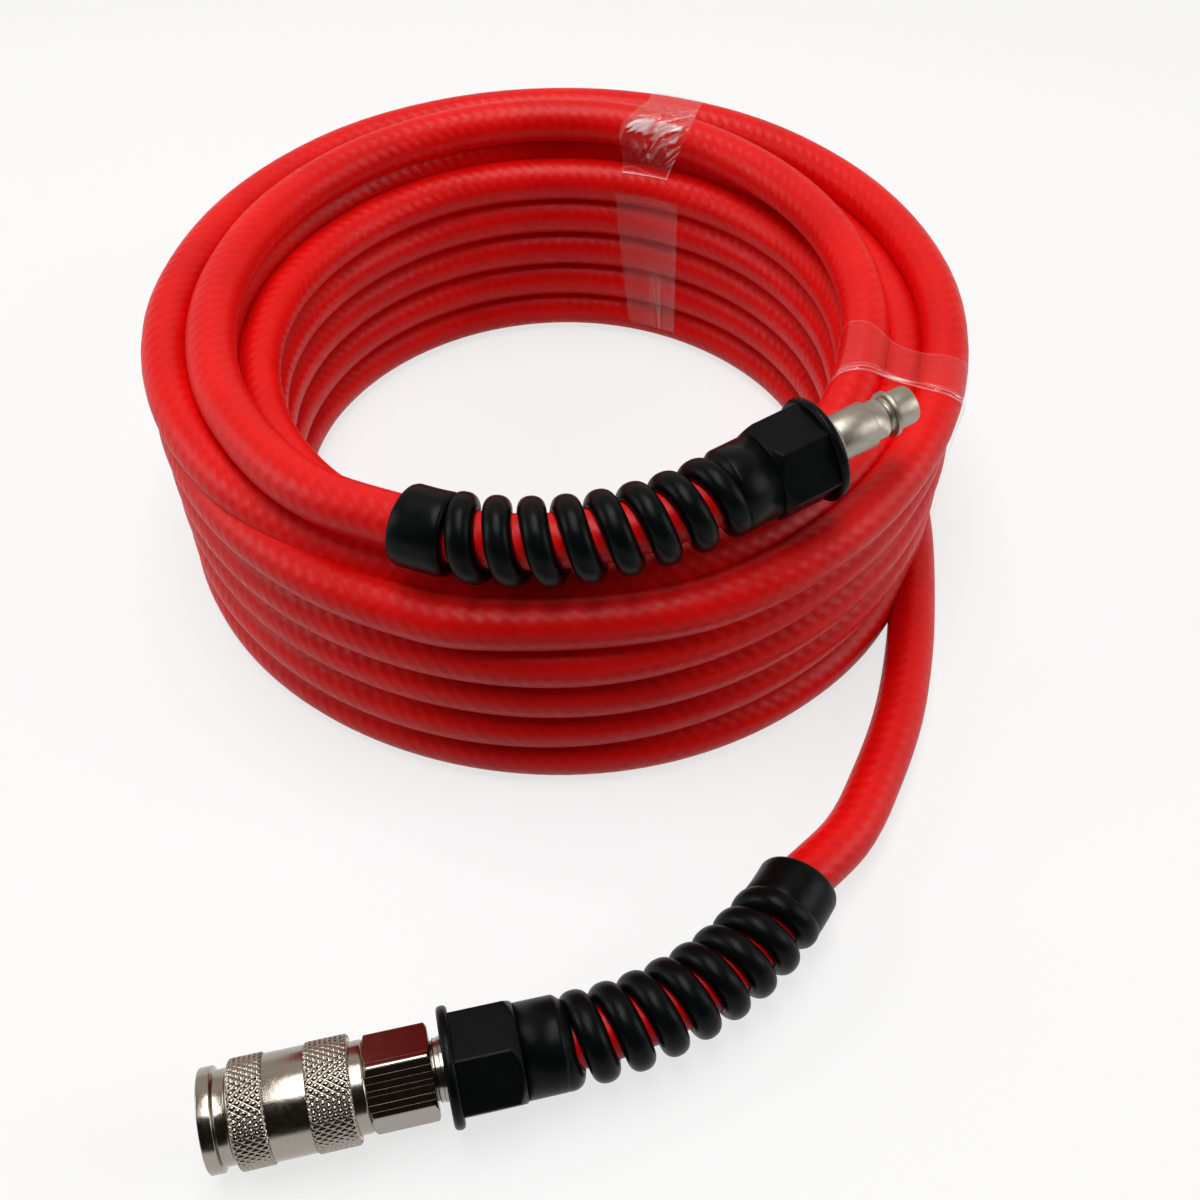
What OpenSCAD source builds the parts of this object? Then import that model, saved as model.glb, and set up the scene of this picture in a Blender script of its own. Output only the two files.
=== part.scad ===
// Compressed-air hose, wound into a coil of three nested columns of turns.
// One end carries a plug nipple and the other a quick coupler with a sliding sleeve, locking
// balls and a shut-off valve. A spiral bend guard sits behind each fitting.
// Millimetres. +Z is up, +X is right, +Y is away, and the coil stands on the floor at z = 0.
// Fittings are drawn along their own axis, which runs from the open end towards the hose.

/* [Hose] */
// Outside diameter of the hose
hose_od = 13.5; // [13.2:0.1:13.8]
// Bore of the hose
hose_bore = 8; // [7.4:0.1:8.6]
// Radius of the middle column of turns, to the middle of the hose
coil_r = 98.75; // [90:0.25:108]
// Distance from one column of turns to the next
column_step = 10.75; // [10.5:0.05:11.5]
// How far each turn sinks into the turn below it
level_nest = 0.6; // [0.4:0.05:0.8]
// How far the lowest turns are flattened on the floor
floor_flat = 0.2; // [0.1:0.05:0.4]

/* [Bend guards] */
// Play between the hose and the guard around it
guard_play = 0.2; // [0.1:0.05:0.4]
// Wall of the guard around the ferrule
guard_wall = 2.25; // [1.6:0.05:3]
// Step from the round neck up to the flats of the hexagon
guard_hex_step = 0.4; // [0.2:0.05:1]
// Height of the front flange above the corners of the hexagon
guard_flange_lip = 0.55; // [0.3:0.05:1.5]
// Thickness of the front flange
guard_flange_t = 2.5; // [1.8:0.1:4]
// Length of the hexagon
guard_hex_len = 14.5; // [10:0.5:18]
// Length of the round neck behind the hexagon
guard_neck_len = 10.5; // [8:0.5:14]
// Length of the bevel at the end of the neck
guard_bevel_len = 3; // [2:0.25:4]
// Depth of the bevel at the end of the neck
guard_bevel_h = 1.6; // [0.8:0.1:2]
// Length of the open spiral behind the plug, which is stretched a little
plug_spiral_len = 61; // [58:0.5:64]
// Length of the open spiral behind the coupler
coupler_spiral_len = 55; // [53.5:0.5:60]
// Number of turns in the open spiral
guard_turns = 7.5; // [6:0.5:7.5]
// Width of the spiral rib along the hose
guard_rib_w = 6.2; // [5:0.1:6.3]
// Height of the spiral rib above the hose
guard_rib_h = 4; // [3.5:0.1:4.5]
// Length of the collar at the end of the spiral
guard_collar_len = 15; // [10:0.5:17]
// Wall of the collar at the end of the spiral
guard_collar_wall = 3.3; // [2.8:0.05:3.7]

/* [Hose tails] */
// Wall of the crimped ferrules
ferrule_wall = 1.6; // [1:0.1:2.2]
// Length of the crimped ferrules
ferrule_len = 20; // [16:0.5:22]
// Thickness of the front flange of a ferrule
ferrule_flange_t = 1.5; // [1:0.1:2.5]
// Gap between the guard flange and the ferrule behind it
ferrule_gap = 0.2; // [0.1:0.05:0.5]
// Bore of the stems
stem_bore = 5.5; // [4.5:0.1:6]
// Length of the barbed tail inside the hose
tail_len = 27; // [22:0.5:30]
// How far the barbs bite into the hose
barb_bite = 0.4; // [0.2:0.05:0.6]
// Radial play of the shank in the guard flange
shank_play = 0.2; // [0.1:0.05:0.4]
// Diameter of the shank that the guard flange sits on
shank_d = 14.4; // [13.8:0.1:15]

/* [Plug nipple] */
// Diameter of the tip, which the coupler seals on
plug_tip_d = 10; // [9.6:0.1:10.4]
// Diameter of the locking ridge
plug_ridge_d = 11.9; // [11.6:0.05:12]
// Diameter at the bottom of the locking groove
plug_groove_d = 8.4; // [8:0.1:9]
// Diameter of the guiding body
plug_body_d = 12; // [11.9:0.05:12.3]
// Diameter of the collar in front of the guard
plug_collar_d = 13; // [12.5:0.1:13.6]
// Length of the tip
plug_tip_len = 6.05; // [5.5:0.05:6.5]
// Width of the locking ridge
plug_ridge_w = 1.2; // [0.9:0.05:1.6]
// Width of the locking groove
plug_groove_w = 1.9; // [1.7:0.05:2.1]
// Length of the step between the groove and the guiding body
plug_step_len = 3.75; // [3:0.05:4.5]
// Length of the guiding body
plug_body_len = 10.3; // [8:0.1:13]
// Length of the collar in front of the guard
plug_collar_len = 3.9; // [2.5:0.1:6]

/* [Coupler] */
// Radial play of the plug in the socket
plug_play = 0.1; // [0.05:0.01:0.15]
// Wall of the front body around the socket
body_wall = 2.45; // [2.3:0.05:2.7]
// How far the front body sits back from the rim of the sleeve
body_setback = 1; // [0.4:0.1:1.6]
// Radial play of the sleeve on the front body
sleeve_play = 0.1; // [0.06:0.01:0.14]
// Travel of the sleeve
sleeve_travel = 2.5; // [2.4:0.1:2.8]
// Length of the sleeve
sleeve_len = 32.5; // [32:0.1:33]
// Diameter of the plain band of the sleeve
sleeve_d = 23; // [22.6:0.1:23.6]
// Width of the plain band of the sleeve
plain_band_w = 9; // [6:0.5:12]
// Distance of the plain band from the mouth of the sleeve
plain_band_s = 14; // [12:0.5:15]
// Height of the two knurled bands above the plain band
knurl_h = 0.4; // [0.2:0.05:0.8]
// Diameter of the rim at the mouth of the sleeve
sleeve_rim_d = 22.6; // [21.6:0.1:24]
// Width of the rim at the mouth of the sleeve
sleeve_rim_w = 3; // [2:0.1:4]
// Diameter of the groove behind the rim
sleeve_groove_d = 20.4; // [20:0.1:21.4]
// Width of the groove behind the rim
sleeve_groove_w = 3; // [2:0.1:4]
// Width of the relief groove between the guide bore and the locking balls
guide_groove_w = 0.8; // [0.5:0.1:1]
// Depth of the relief groove between the guide bore and the locking balls
guide_groove_h = 0.4; // [0.2:0.05:0.8]
// Diameter of a locking ball
ball_d = 3.5; // [3.3:0.05:3.6]
// Distance of the locking balls from the rim of the sleeve
ball_s = 11.5; // [11.3:0.05:11.7]
// Gap between a ball and what it runs on
ball_play = 0.05; // [0.03:0.01:0.06]
// Wire of the sleeve spring
sleeve_wire = 1.1; // [0.8:0.05:1.2]
// Wire of the valve spring
valve_wire = 0.8; // [0.5:0.05:0.9]
// Travel of the valve
valve_travel = 3.8; // [3:0.1:4]
// Diameter of the seal ring on the valve
valve_ring_d = 1.44; // [1.3:0.02:1.46]
// Width across the flats of the rear body
nut_af = 19; // [18.5:0.1:20]
// Length of the rear body's hexagon
nut_len = 14.5; // [13:0.1:17]

/* [Tape] */
// Thickness of the tape
tape_t = 0.4; // [0.2:0.05:0.6]
// Width of the tape
tape_w = 20; // [12:0.5:24]

/* [Hidden] */
$fn = 96;

// Colours
hose_red = [0.85, 0.07, 0.06];
guard_black = [0.07, 0.07, 0.07];
nickel = [0.74, 0.71, 0.66];
steel = [0.62, 0.63, 0.65];
seal_black = [0.12, 0.12, 0.13];
tape_clear = [0.9, 0.9, 0.92, 0.4];

// Coil
hose_r = hose_od / 2;
coil_y = 53.6;
coil_levels = 5;
mid_turn_r = coil_r;
inner_turn_r = coil_r - column_step;
outer_turn_r = coil_r + column_step;
level_step = hose_od - level_nest;
first_z = hose_r - floor_flat;
top_z = first_z + (coil_levels - 1) * level_step;
mid_top_z = top_z + 2.85;
core_dip = 1.3;

// Azimuths at which the turns step from one level to the next, the way the hose runs
inner_end_az = -72;
inner_under_az = -8;
outer_end_az = -90;
outer_under_az = 5;
mid_end_az = -105;
mid_under_az = 180;
tail_leave_az = -4;
tail_clear_az = -40;
// Azimuth at which the hose comes out of the plug's guard
plug_leave_az = -125;

// Route of the plug end's top turn: azimuth, distance out from the inner column of turns and
// height above the top level
inner_route = [[plug_leave_az, 13, 19.4], [-140, 11.4, 18.8], [-158, 10, 18.3], [-180, 8.8, 17],
               [-205, 8.5, 16.5], [-230, 8, 17], [-255, 7.5, 17.5], [-278, 7, 17.5],
               [-300, 4.5, 17], [-322, 2, 16], [-344, 0.5, 15], [-366, 0, 13],
               [-388, 0, 8.5], [-410, 0, 3.5]];
// Route of the outer top turn: azimuth, distance out from the outer column of turns and
// height above the top level
outer_route = [[-118, -8.5, 3], [-130, -5.5, 5.3], [-143, -2.3, 7.8], [-160, 0.5, 10.7],
               [-180, 1.5, 12.5], [-205, 1, 13], [-230, 0.5, 13.5], [-255, 0, 13.5],
               [-280, 0, 13.5], [-305, 0.5, 13.5], [-330, 1, 12.5], [-355, 1.5, 11],
               [-380, 1, 8], [-405, 0.5, 4.5], [-430, 0.3, 1.5]];
// Route of the loose end from the coil to the coupler: x from the right side of the outer
// column, y from the coil axis, and height off the floor
tail_route = [[-1.2, -30, 0.05], [-5, -58, 0.05], [-9, -78, 0.15], [-15, -99, 0.45],
              [-23.5, -119, 1.05], [-33.5, -137.5, 2.25]];

// Guard, along its own axis from the front face of its flange
guard_bore_r = hose_r + guard_play;
ferrule_r = hose_r + ferrule_wall;
guard_pocket_r = ferrule_r + guard_play;
guard_neck_r = guard_pocket_r + guard_wall;
guard_hex_r = (guard_neck_r + guard_hex_step) / cos(30);
guard_flange_r = guard_hex_r + guard_flange_lip;
shank_r = shank_d / 2;
guard_mouth_r = shank_r + shank_play;
guard_straight = guard_flange_t + guard_hex_len + guard_neck_len + guard_bevel_len;
guard_collar_r = guard_bore_r + guard_collar_wall;
guard_rib_r = hose_r + guard_rib_h;
rib_clear = 0.4;
rib_overlap = 2;
rings_per_turn = 16;
wire_steps = 18;

// Fittings: place, heading towards the hose, slope and the turn of the bend about the axis
plug_az = 210;
plug_el = -5;
plug_from_leave = [139.1, 8.7, 31.4];
plug_tip = polar(plug_leave_az, inner_turn_r, top_z) + plug_from_leave;
plug_bend = 56;
plug_bend_turn = 180;
plug_hex_turn = 30;
coupler_az = 13;
coupler_el = 0;
floor_gap = 0.07;
coupler_from_side = [-183.1, -212.4];
coupler_mouth = [outer_turn_r + coupler_from_side[0], coil_y + coupler_from_side[1],
                 guard_flange_r + floor_gap];
coupler_bend = 48;
coupler_bend_turn = -4.8;
coupler_hex_turn = 25;
nut_turn = 4;

// Hose tails, from the front face of the guard
ferrule_at = guard_flange_t + ferrule_gap;
hose_end_at = ferrule_at + ferrule_flange_t;
tail_end = hose_end_at + tail_len;
tail_core_r = hose_bore / 2 - 0.1;
barb_r = hose_bore / 2 + barb_bite;
barb_count = 4;

// Plug nipple stations from its tip
ridge_s = plug_tip_len;
groove_s = ridge_s + plug_ridge_w;
step_s = groove_s + plug_groove_w;
body_s = step_s + plug_step_len;
collar_s = body_s + plug_body_len;
plug_face_s = collar_s + plug_collar_len;
lock_s = groove_s + plug_groove_w / 2;

// Coupler stations from the rim of its sleeve
socket_r = plug_body_d / 2 + plug_play;
tip_bore_r = plug_tip_d / 2 + plug_play;
body_r = socket_r + body_wall;
land_r = body_r + sleeve_play;
ball_r = ball_d / 2;
ball_at_r = land_r - ball_play - ball_r;
ball_lift = 1;
ball_count = 6;
cone_slope = ball_lift / sleeve_travel;
cone_end_s = ball_s + 0.3;
relief_r = land_r + 1.2;
relief_end_s = cone_end_s - 1.2 / cone_slope;
relief_s = relief_end_s - 1.9;
stop_ring_t = 1.15;
stop_ring_s = 2;
stop_gap = 0.05;
lip_s = stop_ring_s + stop_ring_t + stop_gap;
stop_ring_r = body_r + 0.85;
stop_groove_r = body_r - 0.4;
stop_ring_in_r = stop_groove_r + stop_gap;
guide_groove_end_s = ball_s - ball_r - 0.35;
guide_end_s = guide_groove_end_s - guide_groove_w;
socket_end_s = ball_s + 2.5;
tip_at_s = ball_s + lock_s;
seal_s = tip_at_s - plug_tip_len / 2 - 0.7;
seal_w = 2;
seal_groove_r = tip_bore_r + 1.5;
seal_in_r = plug_tip_d / 2 - 0.1;
seat_s = tip_at_s + 1.8;
chamber_r = body_r - 1.15;
chamber_outlet_r = chamber_r - 2.2;
spring_front_s = cone_end_s + 3.2;
spring_room_r = body_r + sleeve_wire + 0.5;
spring_gap = 0.1;
sleeve_spring_turns = 5;
valve_spring_turns = 6;
rear_s = 30;
rear_collar_r = spring_room_r - sleeve_play;
nut_s = sleeve_len + sleeve_travel + 0.5;
body_end_s = nut_s + 0.5;
chamber_end_s = body_end_s + 4;
thread_s = chamber_end_s + 1;
thread_r = 6.6;
nut_end_s = nut_s + nut_len;
coupler_face_s = nut_end_s + 2.6;
poppet_s = tip_at_s - valve_travel;
poppet_nose_r = plug_tip_d / 2 - 0.3;
poppet_flange_s = seat_s + valve_ring_d + 0.06;
poppet_flange_r = chamber_r - 0.6;
poppet_back_s = poppet_flange_s + 2;

// Directions of a fitting's axis, of its left side and of the side that faces down
function along(az, el) = [cos(el) * cos(az), cos(el) * sin(az), sin(el)];
function left(az) = [-sin(az), cos(az), 0];
function down(az, el) = [sin(el) * cos(az), sin(el) * sin(az), -cos(el)];
function bend_side(az, el, turn) = cos(turn) * left(az) - sin(turn) * down(az, el);

// Radius of a guard's bend, and where the hose leaves its collar
function bend_r(bend, spiral) = (spiral + guard_collar_len) / (bend * PI / 180);
function leave_point(face, az, el, turn, bend, spiral) =
    let (r = bend_r(bend, spiral))
    face + (guard_straight + r * sin(bend)) * along(az, el)
    + r * (1 - cos(bend)) * bend_side(az, el, turn);
function leave_dir(az, el, turn, bend) =
    cos(bend) * along(az, el) + sin(bend) * bend_side(az, el, turn);

plug_face = plug_tip + plug_face_s * along(plug_az, plug_el);
coupler_face = coupler_mouth + coupler_face_s * along(coupler_az, coupler_el);

// A point at an azimuth, radius and height about the coil axis, and the way the hose runs there
function polar(az, r, z) = [r * cos(az), coil_y + r * sin(az), z];
function run_dir(az) = [sin(az), -cos(az), 0];
function unit(v) = v / norm(v);

// One point halfway along each stretch of a route, on a smooth curve through its points
function halfway(p, i) =
    let (a = p[max(i - 1, 0)], b = p[i], c = p[i + 1], d = p[min(i + 2, len(p) - 1)])
    (9 * (b + c) - a - d) / 16;
function smoothed(p) =
    [for (i = [0 : 2 * len(p) - 2]) i % 2 == 0 ? p[i / 2] : halfway(p, (i - 1) / 2)];

// Rings of a round tube along a route, square to its first and last directions
function route_dir(p, i, first, last) =
    i == 0 ? first : i == len(p) - 1 ? last : unit(p[i + 1] - p[i - 1]);
function tube_ring(c, dir, r, sides) =
    let (side = unit(cross(dir, [0, 0, 1])), up = cross(side, dir))
    [for (j = [0 : sides - 1]) let (a = (j + 0.5) * 360 / sides)
        c + r * (cos(a) * side - sin(a) * up)];
function tube_rings(p, r, sides, first, last) =
    [for (i = [0 : len(p) - 1]) tube_ring(p[i], route_dir(p, i, first, last), r, sides)];

// Closed solid through a list of rings that have the same number of points
module skin(rings) {
    m = len(rings[0]);
    n = len(rings);
    points = [for (ring = rings) each ring];
    sides = [for (i = [0 : n - 2], j = [0 : m - 1])
        let (a = i * m + j, b = i * m + (j + 1) % m) each [[a, a + m, b + m], [a, b + m, b]]];
    ends = [[for (j = [0 : m - 1]) j], [for (j = [m - 1 : -1 : 0]) (n - 1) * m + j]];
    polyhedron(points = points, faces = concat(sides, ends), convexity = 10);
}

// Round tube along a route, with extra rings for a smooth bend
module route_tube(points, first, last) {
    skin(tube_rings(smoothed(points), hose_r, 12, first, last));
}

// Wire spring about the Z axis, from one height to another
module wire_spring(wire, mid_r, from, to, turns, sides) {
    steps = turns * wire_steps;
    rise = (to - from - wire) / steps;
    rings = [for (i = [0 : steps]) [for (j = [0 : sides - 1])
        let (a = i * 360 / wire_steps, b = -j * 360 / sides, r = mid_r + wire / 2 * cos(b))
        [r * cos(a), r * sin(a), from + wire / 2 + i * rise + wire / 2 * sin(b)]]];
    skin(rings);
}

// Stretch of one turn in a column, from one azimuth back to another
module turn_arc(r, z, from, to) {
    translate([0, coil_y, 0])
        rotate([0, 0, to])
            rotate_extrude(angle = from - to)
                translate([r, z])
                    if ($children > 0) children(); else circle(hose_r);
}

// Place children at a fitting, with local Z along the fitting's axis towards the hose
module at_plug() {
    translate(plug_tip) rotate([0, 90 - plug_el, plug_az]) children();
}

module at_coupler() {
    translate(coupler_mouth) rotate([0, 90 - coupler_el, coupler_az]) children();
}

module at_plug_guard() {
    at_plug() translate([0, 0, plug_face_s]) rotate([0, 0, plug_bend_turn]) children();
}

module at_coupler_guard() {
    at_coupler() translate([0, 0, coupler_face_s]) rotate([0, 0, coupler_bend_turn]) children();
}

// Sweep a flat shape round a bend of radius r, from one distance along the hose to another
module round_bend(r, from, to) {
    deg = 180 / PI / r;
    translate([0, r, guard_straight])
        rotate([90, 0, -90])
            rotate([0, 0, (from - guard_straight) * deg])
                rotate_extrude(angle = (to - from) * deg)
                    translate([r, 0])
                        children();
}

// The middle of the hose, its direction and the inside of the bend, at a distance along it
function bend_angle(t, r) = max(0, t - guard_straight) / r * 180 / PI;
function bend_mid(t, r) =
    let (a = bend_angle(t, r)) [0, r * (1 - cos(a)), min(t, guard_straight) + r * sin(a)];
function bend_dir(t, r) = let (a = bend_angle(t, r)) [0, sin(a), cos(a)];
function bend_in(t, r) = let (a = bend_angle(t, r)) [0, cos(a), -sin(a)];

// Section of the spiral rib: distance along the hose and radius, flat towards the hose
rib_in = hose_r + rib_clear;
rib_section = [[-0.48, 0], [0.48, 0], [0.5, 0.45], [0.4, 0.8], [0.15, 1], [-0.15, 1],
               [-0.4, 0.8], [-0.5, 0.45]];
function rib_ring(t, a, r) =
    let (out = cos(a) * [1, 0, 0] + sin(a) * bend_in(t, r))
    [for (q = rib_section) bend_mid(t, r) + q[0] * guard_rib_w * bend_dir(t, r)
        + (rib_in + q[1] * (guard_rib_r - rib_in)) * out];

module guard_rib(r, spiral) {
    from = guard_straight - rib_overlap;
    to = guard_straight + spiral + rib_overlap;
    steps = guard_turns * rings_per_turn;
    skin([for (i = [0 : steps]) rib_ring(from + (to - from) * i / steps,
                                         i * 360 / rings_per_turn, r)]);
}

// One-piece bend guard: flange, hexagon, neck, open spiral and collar
module guard(bend, spiral, hex_turn) {
    hex_s = guard_flange_t;
    neck_s = hex_s + guard_hex_len;
    bevel_s = neck_s + guard_neck_len;
    collar_s = guard_straight + spiral;
    difference() {
        union() {
            cylinder(h = guard_flange_t, r = guard_flange_r);
            rotate([0, 0, hex_turn]) cylinder(h = neck_s, r = guard_hex_r, $fn = 6);
            cylinder(h = bevel_s, r = guard_neck_r);
            translate([0, 0, bevel_s])
                cylinder(h = guard_bevel_len, r1 = guard_neck_r, r2 = guard_neck_r - guard_bevel_h);
        }
        translate([0, 0, -1]) cylinder(h = guard_straight + 2, r = guard_bore_r);
        translate([0, 0, -1]) cylinder(h = guard_flange_t + 2, r = guard_mouth_r);
        translate([0, 0, guard_flange_t])
            cylinder(h = ferrule_gap + ferrule_len + 0.5, r = guard_pocket_r);
    }
    round_bend(bend_r(bend, spiral), collar_s, collar_s + guard_collar_len)
        difference() {
            circle(guard_collar_r);
            circle(guard_bore_r);
        }
    guard_rib(bend_r(bend, spiral), spiral);
}

// Hose inside a guard, with its bore, from the ferrule to the end of the collar
module hose_end(bend, spiral) {
    difference() {
        translate([0, 0, hose_end_at])
            cylinder(h = guard_straight - hose_end_at, r = hose_r);
        translate([0, 0, hose_end_at - 1])
            cylinder(h = guard_straight - hose_end_at + 2, r = hose_bore / 2);
    }
    round_bend(bend_r(bend, spiral), guard_straight,
               guard_straight + spiral + guard_collar_len)
        difference() {
            circle(hose_r);
            circle(hose_bore / 2);
        }
}

// Crimped ferrule, with its two crimp grooves
module ferrule() {
    crimp_d = 0.4;
    rotate_extrude()
        difference() {
            translate([tail_core_r + 0.3, ferrule_at])
                square([ferrule_r - tail_core_r - 0.3, ferrule_len]);
            translate([0, hose_end_at]) square([hose_r, ferrule_len]);
            for (s = [6, 12])
                translate([ferrule_r - crimp_d, ferrule_at + s]) square([1, 3]);
        }
}

// Outline of a barbed hose tail, as radius and distance from the guard's face
function tail_outline() =
    let (pitch = (tail_len - 3) / barb_count)
    concat([[shank_r, ferrule_at], [tail_core_r, ferrule_at]],
           [for (i = [0 : barb_count - 1]) each [
               [tail_core_r, hose_end_at + 3 + i * pitch],
               [barb_r, hose_end_at + 3 + i * pitch],
               [tail_core_r, hose_end_at + 3 + (i + 0.85) * pitch]]],
           [[tail_core_r - 0.3, tail_end]]);

// Points of an outline moved along the axis
function shifted(outline, s) = [for (q = outline) q + [0, s]];

// The whole turns of the three columns, pressed together
module hose_coil() {
    color(hose_red)
    translate([0, coil_y, 0])
        rotate_extrude()
            intersection() {
                union() {
                    for (k = [0 : coil_levels - 2])
                        translate([inner_turn_r, first_z + k * level_step]) circle(hose_r);
                    for (k = [1 : coil_levels - 2])
                        translate([outer_turn_r, first_z + k * level_step]) circle(hose_r);
                    for (k = [0 : coil_levels - 2])
                        translate([mid_turn_r, first_z + (k + 0.5) * level_step]) circle(hose_r);
                    translate([inner_turn_r, first_z])
                        square([mid_turn_r - inner_turn_r, top_z - first_z - level_step / 2]);
                    translate([mid_turn_r, first_z + level_step - core_dip])
                        square([outer_turn_r - mid_turn_r,
                                top_z - first_z - 1.5 * level_step + core_dip]);
                }
                square([outer_turn_r + hose_od, top_z + hose_od]);
            }
}

// The turns that the hose leaves part of the way round, to step to another level
module hose_inner_turn() {
    color(hose_red) turn_arc(inner_turn_r, top_z, inner_end_az, inner_under_az - 360);
}

module hose_mid_turn() {
    color(hose_red) turn_arc(mid_turn_r, mid_top_z, mid_under_az, mid_end_az);
}

module hose_outer_turn() {
    color(hose_red) turn_arc(outer_turn_r, top_z, outer_end_az, outer_under_az - 360);
}

module hose_bottom_turn() {
    color(hose_red)
    turn_arc(outer_turn_r, 0, tail_clear_az, tail_leave_az - 360)
        intersection() {
            translate([0, first_z]) circle(hose_r);
            translate([-hose_r, 0]) square([hose_od, hose_od]);
        }
}

module hose_top_inner() {
    first = leave_dir(plug_az, plug_el, plug_bend_turn, plug_bend);
    start = leave_point(plug_face, plug_az, plug_el, plug_bend_turn, plug_bend, plug_spiral_len);
    stop = polar(inner_end_az - 360, inner_turn_r, top_z);
    points = [for (q = inner_route) polar(q[0], inner_turn_r + q[1], top_z + q[2])];
    color(hose_red) route_tube(concat([start], points, [stop]), first, run_dir(inner_end_az));
}

module hose_top_outer() {
    start = polar(mid_end_az, mid_turn_r, mid_top_z);
    stop = polar(outer_end_az - 360, outer_turn_r, top_z);
    points = [for (q = outer_route) polar(q[0], outer_turn_r + q[1], top_z + q[2])];
    color(hose_red)
    route_tube(concat([start], points, [stop]), run_dir(mid_end_az), run_dir(outer_end_az));
}

module hose_tail() {
    start = polar(tail_leave_az, outer_turn_r, first_z);
    stop = leave_point(coupler_face, coupler_az, coupler_el, coupler_bend_turn, coupler_bend,
                       coupler_spiral_len);
    last = -leave_dir(coupler_az, coupler_el, coupler_bend_turn, coupler_bend);
    points = [for (q = tail_route) q + [outer_turn_r, coil_y, hose_r]];
    color(hose_red) route_tube(concat([start], points, [stop]), run_dir(tail_leave_az), last);
}

module hose_plug_end() {
    color(hose_red) at_plug_guard() hose_end(plug_bend, plug_spiral_len);
}

module hose_coupler_end() {
    color(hose_red) at_coupler_guard() hose_end(coupler_bend, coupler_spiral_len);
}

module plug_nipple() {
    tip_chamfer = 0.7;
    outline = concat([[stem_bore / 2, 0], [plug_tip_d / 2 - tip_chamfer, 0],
                      [plug_tip_d / 2, tip_chamfer], [plug_tip_d / 2, ridge_s],
                      [plug_ridge_d / 2, ridge_s], [plug_ridge_d / 2, groove_s],
                      [plug_tip_d / 2, groove_s], [plug_tip_d / 2, body_s],
                      [plug_body_d / 2, body_s + 0.5], [plug_body_d / 2, collar_s],
                      [plug_collar_d / 2, collar_s], [plug_collar_d / 2, plug_face_s],
                      [shank_r, plug_face_s]],
                     shifted(tail_outline(), plug_face_s),
                     [[stem_bore / 2, plug_face_s + tail_end]]);
    groove_depth = (plug_tip_d - plug_groove_d) / 2;
    groove_r = (pow(plug_groove_w / 2, 2) + pow(groove_depth, 2)) / (2 * groove_depth);
    color(nickel)
    at_plug()
        rotate_extrude()
            difference() {
                polygon(outline);
                translate([plug_groove_d / 2 + groove_r, lock_s]) circle(groove_r, $fn = 48);
            }
}

module plug_ferrule() {
    color(steel) at_plug_guard() ferrule();
}

module plug_guard() {
    color(guard_black) at_plug_guard() guard(plug_bend, plug_spiral_len, plug_hex_turn);
}

module coupler_stem() {
    ring_r = 7;
    core = thread_r - 0.07;
    outline = concat([[stem_bore / 2, thread_s + 0.5], [core - 0.8, thread_s + 0.5],
                      [core, thread_s + 1.3], [core, nut_end_s + 0.6],
                      [ring_r, nut_end_s + 0.6], [ring_r, nut_end_s + 1.8],
                      [shank_r, nut_end_s + 1.8]],
                     shifted(tail_outline(), coupler_face_s),
                     [[stem_bore / 2, coupler_face_s + tail_end]]);
    color(nickel) at_coupler() rotate_extrude() polygon(outline);
}

module coupler_ferrule() {
    color(steel) at_coupler_guard() ferrule();
}

module coupler_guard() {
    color(guard_black) at_coupler_guard() guard(coupler_bend, coupler_spiral_len, coupler_hex_turn);
}

module coupler_rear_body() {
    chamfer = 1;
    nut_r = nut_af / 2 / cos(30);
    round_off = [[0, rear_s - 1], [rear_collar_r, rear_s - 1], [rear_collar_r, nut_s],
                 [nut_r - chamfer, nut_s], [nut_r + 0.1, nut_s + chamfer * 0.6],
                 [nut_r + 0.1, nut_end_s - chamfer * 0.6], [nut_r - chamfer, nut_end_s],
                 [0, nut_end_s]];
    color(nickel)
    at_coupler()
        difference() {
            intersection() {
                union() {
                    cylinder(h = nut_s + 1, r = rear_collar_r);
                    translate([0, 0, nut_s])
                        rotate([0, 0, nut_turn]) cylinder(h = nut_len, r = nut_r, $fn = 6);
                }
                rotate_extrude() polygon(round_off);
                translate([0, 0, rear_s]) cylinder(h = nut_end_s, r = nut_r + 1);
            }
            translate([0, 0, rear_s - 1]) cylinder(h = body_end_s - rear_s + 1, r = body_r);
            translate([0, 0, rear_s]) cylinder(h = chamber_end_s - rear_s, r = chamber_r);
            translate([0, 0, rear_s]) cylinder(h = nut_end_s, r = chamber_outlet_r);
            translate([0, 0, thread_s]) cylinder(h = nut_end_s, r = thread_r);
        }
}

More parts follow.
